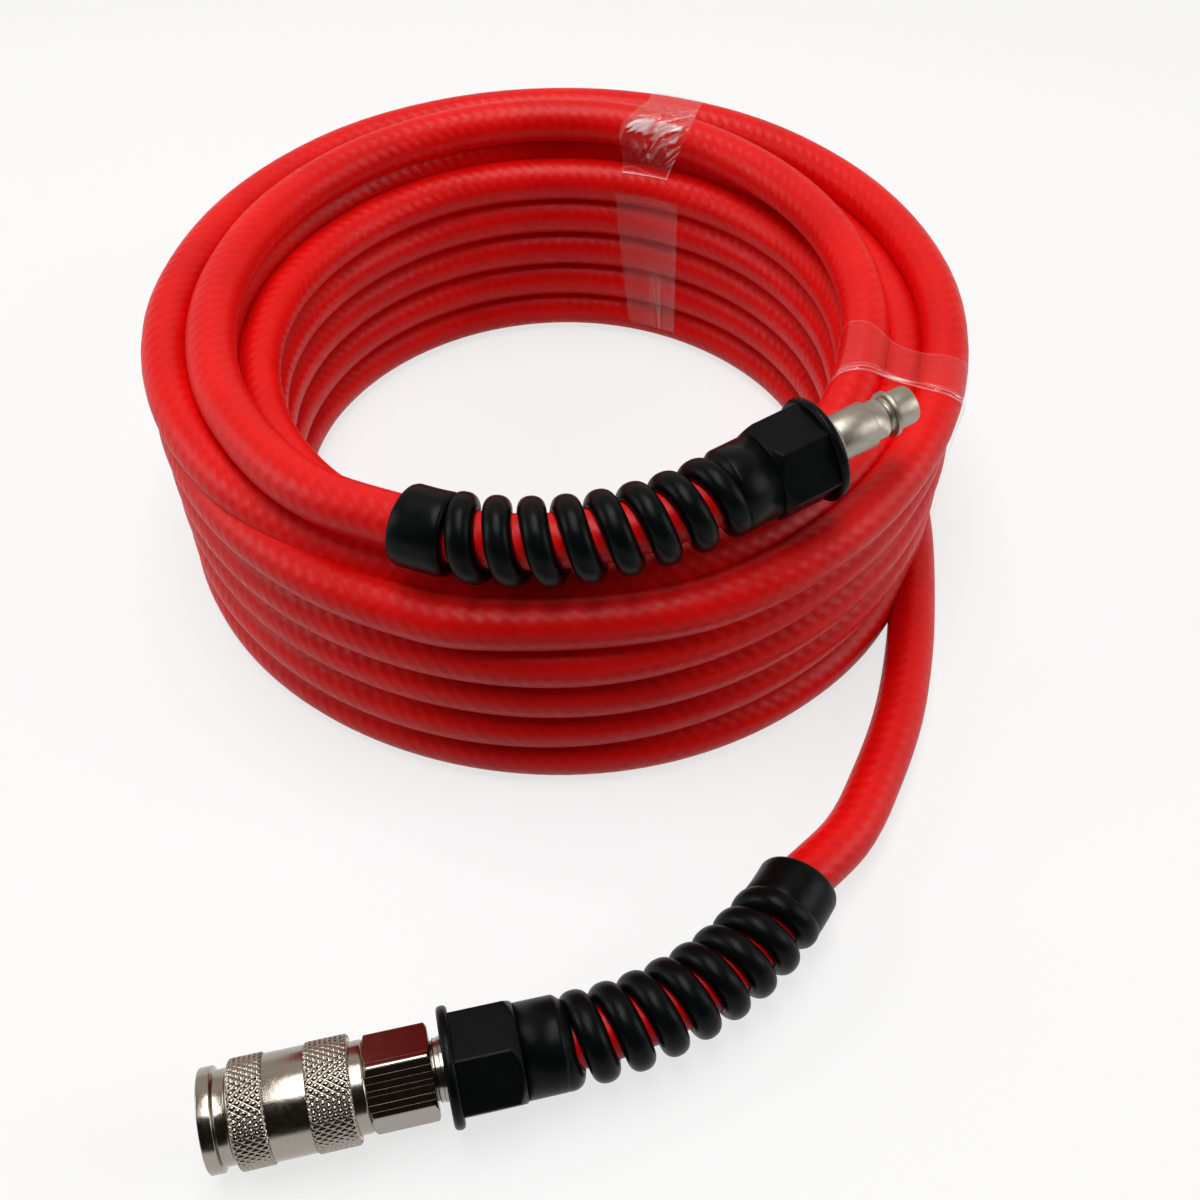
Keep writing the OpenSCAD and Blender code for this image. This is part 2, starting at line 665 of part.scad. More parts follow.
module coupler_front_body() {
    outline = [[socket_r + 0.5, body_setback], [body_r - 0.3, body_setback],
               [body_r, body_setback + 0.3], [body_r, stop_ring_s], [stop_groove_r, stop_ring_s],
               [stop_groove_r, lip_s], [body_r, lip_s], [body_r, body_end_s],
               [chamber_r, body_end_s], [chamber_r, seat_s], [tip_bore_r, seat_s],
               [tip_bore_r, seal_s + seal_w], [seal_groove_r, seal_s + seal_w],
               [seal_groove_r, seal_s], [tip_bore_r, seal_s], [tip_bore_r, socket_end_s],
               [socket_r, socket_end_s], [socket_r, guide_groove_end_s],
               [socket_r + guide_groove_h, guide_groove_end_s],
               [socket_r + guide_groove_h, guide_end_s], [socket_r, guide_end_s],
               [socket_r, body_setback + 0.5]];
    catch_r = ball_r - 0.13;
    hole_r = ball_r + 0.08;
    color(nickel)
    at_coupler()
        difference() {
            rotate_extrude() polygon(outline);
            for (k = [1 : ball_count])
                translate([0, 0, ball_s]) rotate([0, 90, k * 360 / ball_count]) {
                    translate([0, 0, ball_at_r - 0.8])
                        cylinder(h = 0.45, r1 = catch_r, r2 = hole_r, $fn = 48);
                    translate([0, 0, socket_r - 2])
                        cylinder(h = ball_at_r - 0.8 - socket_r + 2, r = catch_r, $fn = 48);
                    translate([0, 0, ball_at_r - 0.35]) cylinder(h = 5, r = hole_r, $fn = 48);
                }
        }
}

module coupler_sleeve() {
    knurl_r = sleeve_d / 2 + knurl_h;
    edge = 0.5;
    knurl_s = sleeve_rim_w + sleeve_groove_w + edge;
    plain_end_s = plain_band_s + plain_band_w;
    outline = [[stop_ring_r + 0.2, 0], [sleeve_rim_d / 2, 0], [sleeve_rim_d / 2, sleeve_rim_w],
               [sleeve_groove_d / 2, sleeve_rim_w + edge], [sleeve_groove_d / 2, knurl_s - edge],
               [knurl_r, knurl_s], [knurl_r, plain_band_s], [sleeve_d / 2, plain_band_s],
               [sleeve_d / 2, plain_end_s], [knurl_r, plain_end_s],
               [knurl_r, sleeve_len - edge], [knurl_r - edge, sleeve_len],
               [spring_room_r, sleeve_len], [spring_room_r, spring_front_s],
               [land_r, spring_front_s], [land_r, cone_end_s], [relief_r, relief_end_s],
               [relief_r, relief_s], [land_r, relief_s], [land_r, lip_s],
               [stop_ring_r + 0.2, lip_s]];
    color(nickel) at_coupler() rotate_extrude() polygon(outline);
}

module sleeve_spring() {
    color(steel)
    at_coupler()
        wire_spring(sleeve_wire, (body_r + spring_room_r) / 2, spring_front_s + spring_gap,
                    rear_s - spring_gap, sleeve_spring_turns, 8);
}

module sleeve_stop_ring() {
    color(steel)
    at_coupler()
        translate([0, 0, stop_ring_s])
            rotate([0, 0, 10])
                rotate_extrude(angle = 340)
                    translate([stop_ring_in_r, 0]) square([stop_ring_r - stop_ring_in_r, stop_ring_t]);
}

module ball(k) {
    color(steel)
    at_coupler()
        rotate([0, 0, k * 360 / ball_count]) translate([ball_at_r, 0, ball_s]) sphere(ball_r);
}

module valve_poppet() {
    hollow_r = poppet_nose_r - 1.3;
    outline = [[hollow_r, poppet_s], [poppet_nose_r - 0.4, poppet_s],
               [poppet_nose_r, poppet_s + 0.4], [poppet_nose_r, poppet_flange_s],
               [poppet_flange_r, poppet_flange_s], [poppet_flange_r, poppet_back_s],
               [poppet_flange_r - 1, poppet_back_s], [poppet_flange_r - 1, poppet_back_s + 2],
               [0, poppet_back_s + 2], [0, poppet_flange_s - 1], [hollow_r, poppet_flange_s - 1]];
    color(steel)
    at_coupler()
        difference() {
            rotate_extrude() polygon(outline);
            for (a = [0 : 90 : 270])
                translate([0, 0, seat_s - 1.5]) rotate([0, 90, a]) cylinder(h = 8, r = 1, $fn = 32);
        }
}

module valve_ring() {
    color(seal_black)
    at_coupler()
        rotate_extrude()
            translate([poppet_nose_r + valve_ring_d / 2 + 0.2, seat_s + valve_ring_d / 2 + 0.03])
                circle(valve_ring_d / 2, $fn = 32);
}

module valve_spring() {
    color(steel)
    at_coupler()
        wire_spring(valve_wire, poppet_flange_r - 0.4, poppet_back_s + spring_gap,
                    chamber_end_s - spring_gap, valve_spring_turns, 6);
}

module plug_seal() {
    color(seal_black)
    at_coupler()
        translate([0, 0, seal_s])
            rotate_extrude()
                translate([seal_in_r, 0]) square([seal_groove_r - seal_in_r, seal_w]);
}

// Strip of tape wrapped round the coil axis between two azimuths
module tape_strip(r, az) {
    angle = tape_w / r * 180 / PI;
    translate([0, coil_y, 0]) rotate([0, 0, az - angle / 2]) rotate_extrude(angle = angle) children();
}

module tape_back_inner() {
    color(tape_clear)
    tape_strip(inner_turn_r, 70)
        translate([inner_turn_r - hose_r - 0.05 - tape_t, 8])
            square([tape_t, top_z - 8]);
}

module tape_back_top() {
    lift = 1.1;
    near = (inner_route[7] + inner_route[8]) / 2;
    far = (outer_route[8] + outer_route[9]) / 2;
    a = [inner_turn_r + near[1], top_z + near[2]];
    b = [outer_turn_r + far[1], top_z + far[2]];
    color(tape_clear)
    tape_strip(mid_turn_r, near[0])
        intersection() {
            difference() {
                union() {
                    translate(a) circle(hose_r + lift + tape_t);
                    translate(b) circle(hose_r + lift + tape_t);
                }
                translate(a) circle(hose_r + lift);
                translate(b) circle(hose_r + lift);
            }
            translate([inner_turn_r - hose_r, top_z + 14.5]) square([5 * hose_r, 2 * hose_od]);
        }
}

module tape_right() {
    near = (inner_route[11] + inner_route[12]) / 2;
    high = top_z + near[2] + hose_r + 1.2;
    low = high - 2.4;
    side = high - 7.2;
    foot = 2 * hose_r + 2;
    out_r = outer_turn_r + hose_r + 1.5;
    color(tape_clear)
    tape_strip(outer_turn_r, -18.5)
        polygon([[inner_turn_r - 2, high], [inner_turn_r - 2, high + tape_t],
                 [out_r - 3.6, low + tape_t], [out_r + tape_t, side + tape_t / 2],
                 [out_r + tape_t, foot], [out_r, foot], [out_r, side], [out_r - 3.75, low]]);
}

hose_coil();
hose_inner_turn();
hose_mid_turn();
hose_outer_turn();
hose_bottom_turn();
hose_top_inner();
hose_top_outer();
hose_tail();
hose_plug_end();
hose_coupler_end();
plug_nipple();
plug_ferrule();
plug_guard();
coupler_stem();
coupler_ferrule();
coupler_guard();
coupler_rear_body();
coupler_front_body();
coupler_sleeve();
sleeve_spring();
sleeve_stop_ring();
ball(1);  // ball_1
ball(2);  // ball_2
ball(3);  // ball_3
ball(4);  // ball_4
ball(5);  // ball_5
ball(6);  // ball_6
valve_poppet();
valve_ring();
valve_spring();
plug_seal();
tape_back_inner();
tape_back_top();
tape_right();
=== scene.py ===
import bmesh
import bpy
import math
from math import cos, pi, radians, sin
from mathutils import Matrix, Vector, noise


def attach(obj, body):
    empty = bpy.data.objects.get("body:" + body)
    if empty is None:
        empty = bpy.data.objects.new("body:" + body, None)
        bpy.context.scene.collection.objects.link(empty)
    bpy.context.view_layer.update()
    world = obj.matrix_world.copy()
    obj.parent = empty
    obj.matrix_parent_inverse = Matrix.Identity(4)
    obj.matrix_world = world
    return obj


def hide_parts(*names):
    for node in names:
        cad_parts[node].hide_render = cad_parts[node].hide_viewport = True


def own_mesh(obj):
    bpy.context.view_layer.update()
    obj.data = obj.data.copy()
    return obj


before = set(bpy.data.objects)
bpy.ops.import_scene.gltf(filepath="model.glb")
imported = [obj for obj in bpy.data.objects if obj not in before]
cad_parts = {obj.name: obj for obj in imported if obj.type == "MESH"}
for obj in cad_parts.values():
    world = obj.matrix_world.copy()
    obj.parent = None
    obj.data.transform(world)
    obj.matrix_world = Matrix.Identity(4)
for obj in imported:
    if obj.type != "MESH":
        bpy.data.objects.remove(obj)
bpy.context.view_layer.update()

MM = 0.001
TAU = 2 * pi
X_AXIS = Vector((1, 0, 0))
Z_AXIS = Vector((0, 0, 1))
scene = bpy.context.scene


# -------- camera
def add_camera():
    data = bpy.data.cameras.new("camera")
    data.sensor_width = 36.0
    data.lens = 41.03
    camera = bpy.data.objects.new("camera", data)
    camera.location = (0.0123, -0.2688, 0.3130)
    camera.rotation_euler = (radians(41.04), 0.0, 0.0)
    scene.collection.objects.link(camera)
    scene.camera = camera


add_camera()

# -------- sizes, in millimetres
HOSE_R = 6.75
COIL_Y = 53.6
# middle of the hose at the highest and the lowest level of the columns, and the step between levels
TOP_Z = 58.15
FIRST_Z = 6.55
STEP_Z = 12.9
# the three columns of turns
INNER_R = 88.0
MID_R = 98.75
OUTER_R = 109.5

# The hose's route. Azimuths are in degrees and are counted on from turn to turn.
TURN = 360
# azimuth, distance out from the column of turns, height above the top level
INNER_ROUTE = [(-125, 13, 19.4), (-140, 11.4, 18.8), (-158, 10, 18.3), (-180, 8.8, 17),
               (-205, 8.5, 16.5), (-230, 8, 17), (-255, 7.5, 17.5), (-278, 7, 17.5),
               (-300, 4.5, 17), (-322, 2, 16), (-344, 0.5, 15), (-366, 0, 13),
               (-388, 0, 8.5), (-410, 0, 3.5)]
OUTER_ROUTE = [(-118, -8.5, 3), (-130, -5.5, 5.3), (-143, -2.3, 7.8), (-160, 0.5, 10.7),
               (-180, 1.5, 12.5), (-205, 1, 13), (-230, 0.5, 13.5), (-255, 0, 13.5),
               (-280, 0, 13.5), (-305, 0.5, 13.5), (-330, 1, 12.5), (-355, 1.5, 11),
               (-380, 1, 8), (-405, 0.5, 4.5), (-430, 0.3, 1.5)]
# x from the right side of the outer column, y from the coil axis, height off the floor
TAIL_ROUTE = [(-1.2, -30, 0.05), (-5, -58, 0.05), (-9, -78, 0.15), (-15, -99, 0.45),
              (-23.5, -119, 1.05), (-33.5, -137.5, 2.25)]
# inner column: where it starts, and where its first turn begins and ends a step down
INNER_START = -432
INNER_STEP = (-728, -792)
# where the hose passes under from the inner column to the middle one
UNDER = (-2168, -2232)
# middle column: one key of the climb, its height at the top, and how it then passes over
MID_KEY = 36
MID_TOP_Z = 61.5
MID_OVER = [(-3420, 61.8), (-3500, 64.4), (-3600, 64.4), (-3660, 62.6), (-3690, 61.2), (-3705, 61.0)]
# outer column: what OUTER_ROUTE's azimuths are counted on by, then as for the inner one
OUTER_OFFSET = 3600
OUTER_START = -4050
OUTER_STEP = (-4315, -4410)
OUTER_LAST_STEP = (-5395, -5440)
OUTER_END = -5764

# The plug's tip is placed from where the hose leaves the inner column, the coupler's mouth from the
# coil's right side, with its guard's flange just off the floor.
HEX_APOTHEM = 11.2
HEX_CORNER_R = HEX_APOTHEM / cos(pi / 6)
AXIS_LIFT = 0.62
LEAVE = radians(-125)
PLUG_TIP = (INNER_R * cos(LEAVE) + 139.1, COIL_Y + INNER_R * sin(LEAVE) + 8.7, TOP_Z + 31.4)
COUPLER_MOUTH = (OUTER_R - 183.1, COIL_Y - 212.4, HEX_CORNER_R + AXIS_LIFT)
# az and el point the axis from the open end to the hose, face is where the guard starts on it,
# turn rolls the guard's bend, bend is its angle, spiral the length of the open spiral, hex turns
# the hexagon, and rise and pitch place the rib
PLUG = dict(tip=PLUG_TIP, az=210.0, el=-5.0, face=27.1, turn=180.0, bend=56.0, spiral=61.0, hex=30.0,
            rise=30.5, pitch=8.67)
COUPLER = dict(tip=COUPLER_MOUTH, az=13.0, el=0.0, face=52.6, turn=-4.8, bend=48.0, spiral=55.0, hex=25.0,
               rise=28.5, pitch=7.87)
# from the guard's face: where the bend starts and where the hose is cut; and the collar's length
STRAIGHT = 30.5
HOSE_END = 4.2
COLLAR = 15.0


def fitting_matrix(f):
    """From a fitting's own axis, which starts at its open end, to the frame."""
    return (Matrix.Translation(Vector(f["tip"]))
            @ Matrix.Rotation(radians(f["az"]), 4, 'Z')
            @ Matrix.Rotation(radians(90 - f["el"]), 4, 'Y'))


def guard_matrix(f):
    """The same from the guard's face, rolled so that the bend turns towards its own +Y."""
    return (fitting_matrix(f) @ Matrix.Translation((0, 0, f["face"]))
            @ Matrix.Rotation(radians(f["turn"]), 4, 'Z'))


def bend_r(f):
    return (f["spiral"] + COLLAR) / radians(f["bend"])


def bend_frame(t, r):
    """Middle of the hose, its direction and the inside of the bend, t mm from the guard's face."""
    a = max(0.0, t - STRAIGHT) / r
    mid = Vector((0, r * (1 - cos(a)), min(t, STRAIGHT) + r * sin(a)))
    return mid, Vector((0, sin(a), cos(a))), Vector((0, cos(a), -sin(a)))


def polar(az, r, z):
    """Point at an azimuth in degrees about the coil's axis."""
    a = radians(az)
    return Vector((r * cos(a), COIL_Y + r * sin(a), z))


def round_axis(a, r, s):
    """Point at an angle about a fitting's axis, and s along it."""
    return Vector((r * cos(a), r * sin(a), s))


def ease(x):
    """0 to 1 with soft ends, and level outside them."""
    x = min(1.0, max(0.0, x))
    return x * x * (3 - 2 * x)


def bell(x, width):
    return math.exp(-(x / width) ** 2)


# -------- mesh helpers
def link(obj):
    scene.collection.objects.link(obj)
    return obj


def grid_mesh(name, rows, close_u, close_v, uvs=None, mat=None, caps=False):
    """Smooth surface through rows of points, in millimetres. uvs gives the UV of a row and column."""
    n, m = len(rows), len(rows[0])
    verts = [tuple(c * MM for c in p) for row in rows for p in row]
    faces, face_uv = [], []
    for i in range(n if close_u else n - 1):
        for j in range(m if close_v else m - 1):
            i2, j2 = (i + 1) % n, (j + 1) % m
            faces.append((i * m + j, i2 * m + j, i2 * m + j2, i * m + j2))
            if uvs:
                face_uv += [uvs(i, j), uvs(i + 1, j), uvs(i + 1, j + 1), uvs(i, j + 1)]
    if caps:
        faces.append(tuple(range(m)))
        faces.append(tuple((n - 1) * m + j for j in reversed(range(m))))
    me = bpy.data.meshes.new(name)
    me.from_pydata(verts, [], faces)
    if uvs:
        layer = me.uv_layers.new(name="UVMap")
        for k, corner in enumerate(face_uv):
            layer.data[k].uv = corner
    for p in me.polygons:
        p.use_smooth = True
    me.update()
    obj = link(bpy.data.objects.new(name, me))
    if mat:
        me.materials.append(mat)
    return obj


def fix_normals(obj):
    bm = bmesh.new()
    bm.from_mesh(obj.data)
    bmesh.ops.recalc_face_normals(bm, faces=bm.faces)
    bm.to_mesh(obj.data)
    bm.free()


def mark_sharp(obj, degrees):
    """Edges that turn more than this are shaded sharp."""
    bm = bmesh.new()
    bm.from_mesh(obj.data)
    limit = radians(degrees)
    for e in bm.edges:
        if len(e.link_faces) == 2 and e.link_faces[0].normal.angle(e.link_faces[1].normal, 0) > limit:
            e.smooth = False
    bm.to_mesh(obj.data)
    bm.free()


def join(name, objs):
    """One object out of several, with their materials and UVs."""
    mats, verts, faces, mat_of, uvs, smooth = [], [], [], [], [], []
    for o in objs:
        me, base = o.data, len(verts)
        slots = []
        for mat in me.materials:
            if mat not in mats:
                mats.append(mat)
            slots.append(mats.index(mat))
        verts += [tuple(v.co) for v in me.vertices]
        layer = me.uv_layers.active
        for p in me.polygons:
            faces.append(tuple(base + v for v in p.vertices))
            mat_of.append(slots[p.material_index])
            smooth.append(p.use_smooth)
            for loop in p.loop_indices:
                uvs.append(tuple(layer.data[loop].uv) if layer else (0.0, 0.0))
    me = bpy.data.meshes.new(name)
    me.from_pydata(verts, [], faces)
    for mat in mats:
        me.materials.append(mat)
    layer = me.uv_layers.new(name="UVMap")
    for k, corner in enumerate(uvs):
        layer.data[k].uv = corner
    for p, index, is_smooth in zip(me.polygons, mat_of, smooth):
        p.material_index = index
        p.use_smooth = is_smooth
    me.update()
    for o in objs:
        old = o.data
        bpy.data.objects.remove(o)
        bpy.data.meshes.remove(old)
    return link(bpy.data.objects.new(name, me))


def rounded(corners, steps):
    """Closed profile. Each corner is (radius, distance, rounding), where a rounding of 0 is sharp."""
    straight, pinched, most = radians(176), 0.01, 0.48
    out = []
    for i, (x, y, rounding) in enumerate(corners):
        after = corners[(i + 1) % len(corners)]
        a, b, c = Vector(corners[i - 1][:2]), Vector((x, y)), Vector(after[:2])
        if not rounding:
            out.append(tuple(b))
            continue
        u, v = a - b, c - b
        lu, lv = u.length, v.length
        u.normalize()
        v.normalize()
        angle = math.acos(max(-1.0, min(1.0, u.dot(v))))
        if angle > straight or angle < pinched:
            out.append(tuple(b))
            continue
        cut = min(rounding / math.tan(angle / 2), most * lu, most * lv)
        r = cut * math.tan(angle / 2)
        centre = b + (u + v).normalized() * (r / sin(angle / 2))
        start, end = b + u * cut - centre, b + v * cut - centre
        a0 = math.atan2(start.y, start.x)
        sweep = (math.atan2(end.y, end.x) - a0 + pi) % TAU - pi
        for k in range(steps + 1):
            t = a0 + sweep * k / steps
            out.append((centre.x + r * cos(t), centre.y + r * sin(t)))
    return out


def lathe(name, profile, m, seg, mat):
    """Closed profile of (radius, distance) turned about the fitting's axis."""
    lengths = [0.0]
    for i in range(len(profile)):
        lengths.append(lengths[-1] + math.dist(profile[i], profile[(i + 1) % len(profile)]))
    rows = [[m @ round_axis(TAU * j / seg, r, s) for j in range(seg)] for r, s in profile]
    obj = grid_mesh(name, rows, True, True, uvs=lambda i, j: (lengths[i] * MM, j / seg), mat=mat)
    fix_normals(obj)
    mark_sharp(obj, 40)
    return obj


# -------- node helpers
class Nodes:
    """A new material, and short ways to add its nodes."""

    def __init__(self, name):
        self.mat = bpy.data.materials.new(name)
        self.mat.use_nodes = True
        self.tree = self.mat.node_tree
        self.tree.nodes.clear()
        self.out = self.tree.nodes.new("ShaderNodeOutputMaterial")
        self.object_coord = None
        self.uv_pair = None

    def add(self, kind, **props):
        node = self.tree.nodes.new(kind)
        for key, value in props.items():
            setattr(node, key, value)
        return node

    def link(self, a, b):
        self.tree.links.new(a, b)

    def feed(self, socket, value):
        """Set a socket to a number or a colour, or link it to an output."""
        if isinstance(value, (int, float, tuple)):
            socket.default_value = value
        else:
            self.link(value, socket)

    def put(self, kind, **values):
        """Add a node and feed its sockets by name."""
        node = self.add(kind)
        for key, value in values.items():
            self.feed(node.inputs[key.replace("_", " ")], value)
        return node

    def math(self, operation, *values):
        node = self.add("ShaderNodeMath", operation=operation)
        for socket, value in zip(node.inputs, values):
            self.feed(socket, value)
        return node.outputs[0]

    def times(self, a, b):
        return self.math('MULTIPLY', a, b)

    def plus(self, a, b):
        return self.math('ADD', a, b)

    def minus(self, a, b):
        return self.math('SUBTRACT', a, b)

    def sine(self, a):
        return self.math('SINE', a)

    def coord(self):
        if self.object_coord is None:
            self.object_coord = self.add("ShaderNodeTexCoord").outputs["Object"]
        return self.object_coord

    def uv(self):
        if self.uv_pair is None:
            node = self.add("ShaderNodeUVMap", uv_map="UVMap")
            split = self.add("ShaderNodeSeparateXYZ")
            self.link(node.outputs[0], split.inputs[0])
            self.uv_pair = (split.outputs[0], split.outputs[1])
        return self.uv_pair

    def vector(self, *values):
        node = self.add("ShaderNodeCombineXYZ")
        for socket, value in zip(node.inputs, values):
            self.link(value, socket)
        return node.outputs[0]

    def noise(self, scale, detail=3.0, rough=0.5, vector=None):
        node = self.put("ShaderNodeTexNoise", Scale=scale, Detail=detail, Roughness=rough,
                        Vector=vector or self.coord())
        return node.outputs["Fac"]

    def remap(self, value, from_lo, from_hi, to_lo, to_hi):
        node = self.add("ShaderNodeMapRange")
        for i, bound in enumerate((from_lo, from_hi, to_lo, to_hi)):
            node.inputs[i + 1].default_value = bound
        self.link(value, node.inputs[0])
        return node.outputs[0]

    def mix(self, factor, a, b):
        """Colour between a and b."""
        node = self.add("ShaderNodeMix", data_type='RGBA')
        self.link(factor, node.inputs[0])
        for i, colour in ((6, a), (7, b)):
            if isinstance(colour, tuple):
                node.inputs[i].default_value = (*colour, 1.0)
            else:
                self.link(colour, node.inputs[i])
        return node.outputs[2]

    def bump(self, height, distance):
        return self.put("ShaderNodeBump", Strength=1.0, Distance=distance, Height=height).outputs[0]

    def mix_shader(self, factor, a, b):
        node = self.add("ShaderNodeMixShader")
        self.link(factor, node.inputs[0])
        self.link(a.outputs[0], node.inputs[1])
        self.link(b.outputs[0], node.inputs[2])
        return node

    def surface(self, shader):
        self.link(shader.outputs[0], self.out.inputs["Surface"])

    def principled(self, **values):
        self.surface(self.put("ShaderNodeBsdfPrincipled", **values))


# -------- materials
# the braid under the hose's skin: metres of hose for one repeat, and strands round it
WEAVE_PITCH = 0.00415
WEAVE_STARTS = 8
# turned metal's fine marks: many along the axis and few round it
MARKS_ALONG = 9000.0
MARKS_ROUND = 14.0
# metres of UV for a radian round the nut, the spacing there of the lines that drawing left,
# about seven to a flat, and the middle of the face that has most of them, in degrees
ROUND_UV = 0.0016
SCORE_PITCH = ROUND_UV * pi / 3 / 7
SCORED_FACE = 214.0


def hose_material():
    """Red rubber, with soft cells where the two ways of the braid cross under the skin."""
    n = Nodes("hose_rubber")
    u, v = n.uv()
    along = n.times(u, TAU / WEAVE_PITCH)
    around = n.times(v, TAU * WEAVE_STARTS)
    drift = n.times(n.noise(90.0, 2.0, 0.5), 1.6)
    one_way = n.plus(n.times(n.plus(along, around), 0.5), drift)
    other_way = n.minus(n.times(n.minus(along, around), 0.5), drift)
    over = n.times(n.sine(one_way), n.sine(other_way))
    twill = n.sine(n.times(one_way, 2.0))
    ribs = n.plus(twill, n.sine(n.times(other_way, 2.0)))
    weave = n.plus(n.times(over, 0.34), n.times(ribs, 0.20))
    weave = n.plus(weave, n.times(twill, 0.26))
    fine = n.noise(1100.0, 3.0, 0.6)
    wide = n.noise(120.0, 3.0, 0.55)
    height = n.plus(n.plus(weave, n.times(fine, 0.35)), n.times(wide, 0.9))
    tone = n.remap(n.noise(38.0, 4.0, 0.55), 0.35, 0.68, 0.0, 1.0)
    colour = n.mix(tone, (0.68, 0.0008, 0.0006), (0.80, 0.0024, 0.0014))
    # Painted shade: the colour is darker in the low grooves of the weave's relief.
    colour = n.mix(n.remap(weave, -0.8, 0.0, 0.22, 0.0), colour, (0.46, 0.0006, 0.0006))
    rough = n.remap(n.noise(240.0, 3.0, 0.6), 0.3, 0.7, 0.38, 0.47)
    n.principled(Base_Color=colour, Roughness=rough, Normal=n.bump(height, 0.00008), IOR=1.5,
                 Specular_IOR_Level=0.25)
    return n.mat


def guard_material():
    n = Nodes("guard_plastic")
    height = n.plus(n.times(n.noise(1400.0, 3.0, 0.6), 0.35), n.noise(120.0, 3.0, 0.5))
    colour = n.mix(n.noise(60.0, 4.0, 0.6), (0.0016, 0.0020, 0.0022), (0.0034, 0.0042, 0.0046))
    rough = n.remap(n.noise(300.0, 4.0, 0.6), 0.3, 0.7, 0.28, 0.38)
    n.principled(Base_Color=colour, Roughness=rough, Normal=n.bump(height, 0.00007), IOR=1.5,
                 Specular_IOR_Level=0.09)
    return n.mat


def score_lines(n):
    """1 on the fine dull lines along a drawn bar, most of them on one face, and 0 between them."""
    u, _ = n.uv()
    uneven = n.times(n.noise(1.0, 2.0, 0.5, vector=n.vector(n.times(u, 3000.0))), 8.0)
    wave = n.sine(n.plus(n.times(u, TAU / SCORE_PITCH), uneven))
    off_face = n.math('COSINE', n.minus(n.math('DIVIDE', u, ROUND_UV), radians(SCORED_FACE)))
    return n.times(n.remap(wave, 0.96, 0.995, 0.0, 1.0), n.remap(off_face, 0.6, 0.9, 0.12, 1.0))


def metal_material(name, base, dark, smoothest, roughest, marks, tarnish, scored=0.0):
    """Metal with fine marks and a darker tarnish. scored is the roughness of a drawn bar's lines."""
    n = Nodes(name)
    u, v = n.uv()
    place = n.vector(n.times(u, MARKS_ALONG), n.times(v, MARKS_ROUND))
    turning = n.noise(1.0, 4.0, 0.6, vector=place)
    height = n.plus(n.times(turning, marks), n.times(n.noise(2200.0, 3.0, 0.6), 0.5))
    blotch = n.remap(n.noise(420.0, 4.0, 0.6), 0.42, 0.75, 0.0, 1.0)
    colour = n.mix(n.times(blotch, tarnish), base, dark)
    rough = n.remap(n.noise(650.0, 4.0, 0.6), 0.3, 0.7, smoothest, roughest)
    if scored:
        line = score_lines(n)
        rough = n.math('MAXIMUM', rough, n.times(line, scored))
        colour = n.mix(n.times(line, 0.45), colour, (0.80, 0.73, 0.63))
    n.principled(Base_Color=colour, Metallic=1.0, Roughness=rough, Normal=n.bump(height, 0.00002))
    return n.mat


def seal_material():
    n = Nodes("seal_rubber")
    colour = n.mix(n.noise(200.0), (0.012, 0.012, 0.013), (0.022, 0.022, 0.023))
    n.principled(Base_Color=colour, Roughness=0.55, Normal=n.bump(n.noise(1500.0, 3.0, 0.6), 0.00004))
    return n.mat


HOSE = hose_material()
GUARD = guard_material()
NICKEL = metal_material("nickel_plate", (0.42, 0.385, 0.33), (0.29, 0.26, 0.21), 0.38, 0.50,
                        marks=0.8, tarnish=0.5)
POLISHED = metal_material("nickel_polished", (0.38, 0.35, 0.30), (0.27, 0.24, 0.195), 0.14, 0.24,
                          marks=0.9, tarnish=0.35)
# The nut is the polished nickel made darker: painted shade for the dark hose that its faces reflect. Its
# scored lines are real marks.
NUT_SHADED_NICKEL = metal_material("nickel_nut_painted_shade", (0.29, 0.255, 0.21), (0.22, 0.19, 0.155), 0.12, 0.20,
                           marks=1.2, tarnish=0.12, scored=0.6)
KNURLED = metal_material("nickel_knurled", (0.40, 0.365, 0.31), (0.19, 0.165, 0.135), 0.14, 0.24,
                         marks=0.2, tarnish=0.4)
STEEL = metal_material("bright_steel", (0.60, 0.61, 0.63), (0.42, 0.43, 0.45), 0.18, 0.30,
                       marks=0.5, tarnish=0.3)
SEAL = seal_material()

# -------- the hose, one piece from end to end
HOSE_SIDES = 20
# spacing of the mesh's rings, of the points in a guard, and of those on a column, in degrees
RING_STEP = 4.0
GUARD_STEP = 3.0
COLUMN_STEP = 10.0
# points of the curve for each point given
CURVE_STEPS = 6


def smooth_through(points):
    """Dense points on a centripetal curve through the given ones."""
    pts = [points[0] * 2 - points[1]] + list(points) + [points[-1] * 2 - points[-2]]
    out = []
    for i in range(1, len(pts) - 2):
        p0, p1, p2, p3 = pts[i - 1:i + 3]
        t0 = 0.0
        t1 = t0 + max(1e-6, (p1 - p0).length) ** 0.5
        t2 = t1 + max(1e-6, (p2 - p1).length) ** 0.5
        t3 = t2 + max(1e-6, (p3 - p2).length) ** 0.5
        for k in range(CURVE_STEPS):
            t = t1 + (t2 - t1) * k / CURVE_STEPS
            a1 = p0 * ((t1 - t) / (t1 - t0)) + p1 * ((t - t0) / (t1 - t0))
            a2 = p1 * ((t2 - t) / (t2 - t1)) + p2 * ((t - t1) / (t2 - t1))
            a3 = p2 * ((t3 - t) / (t3 - t2)) + p3 * ((t - t2) / (t3 - t2))
            b1 = a1 * ((t2 - t) / (t2 - t0)) + a2 * ((t - t0) / (t2 - t0))
            b2 = a2 * ((t3 - t) / (t3 - t1)) + a3 * ((t - t1) / (t3 - t1))
            out.append(b1 * ((t2 - t) / (t2 - t1)) + b2 * ((t - t1) / (t2 - t1)))
    out.append(points[-1])
    return out


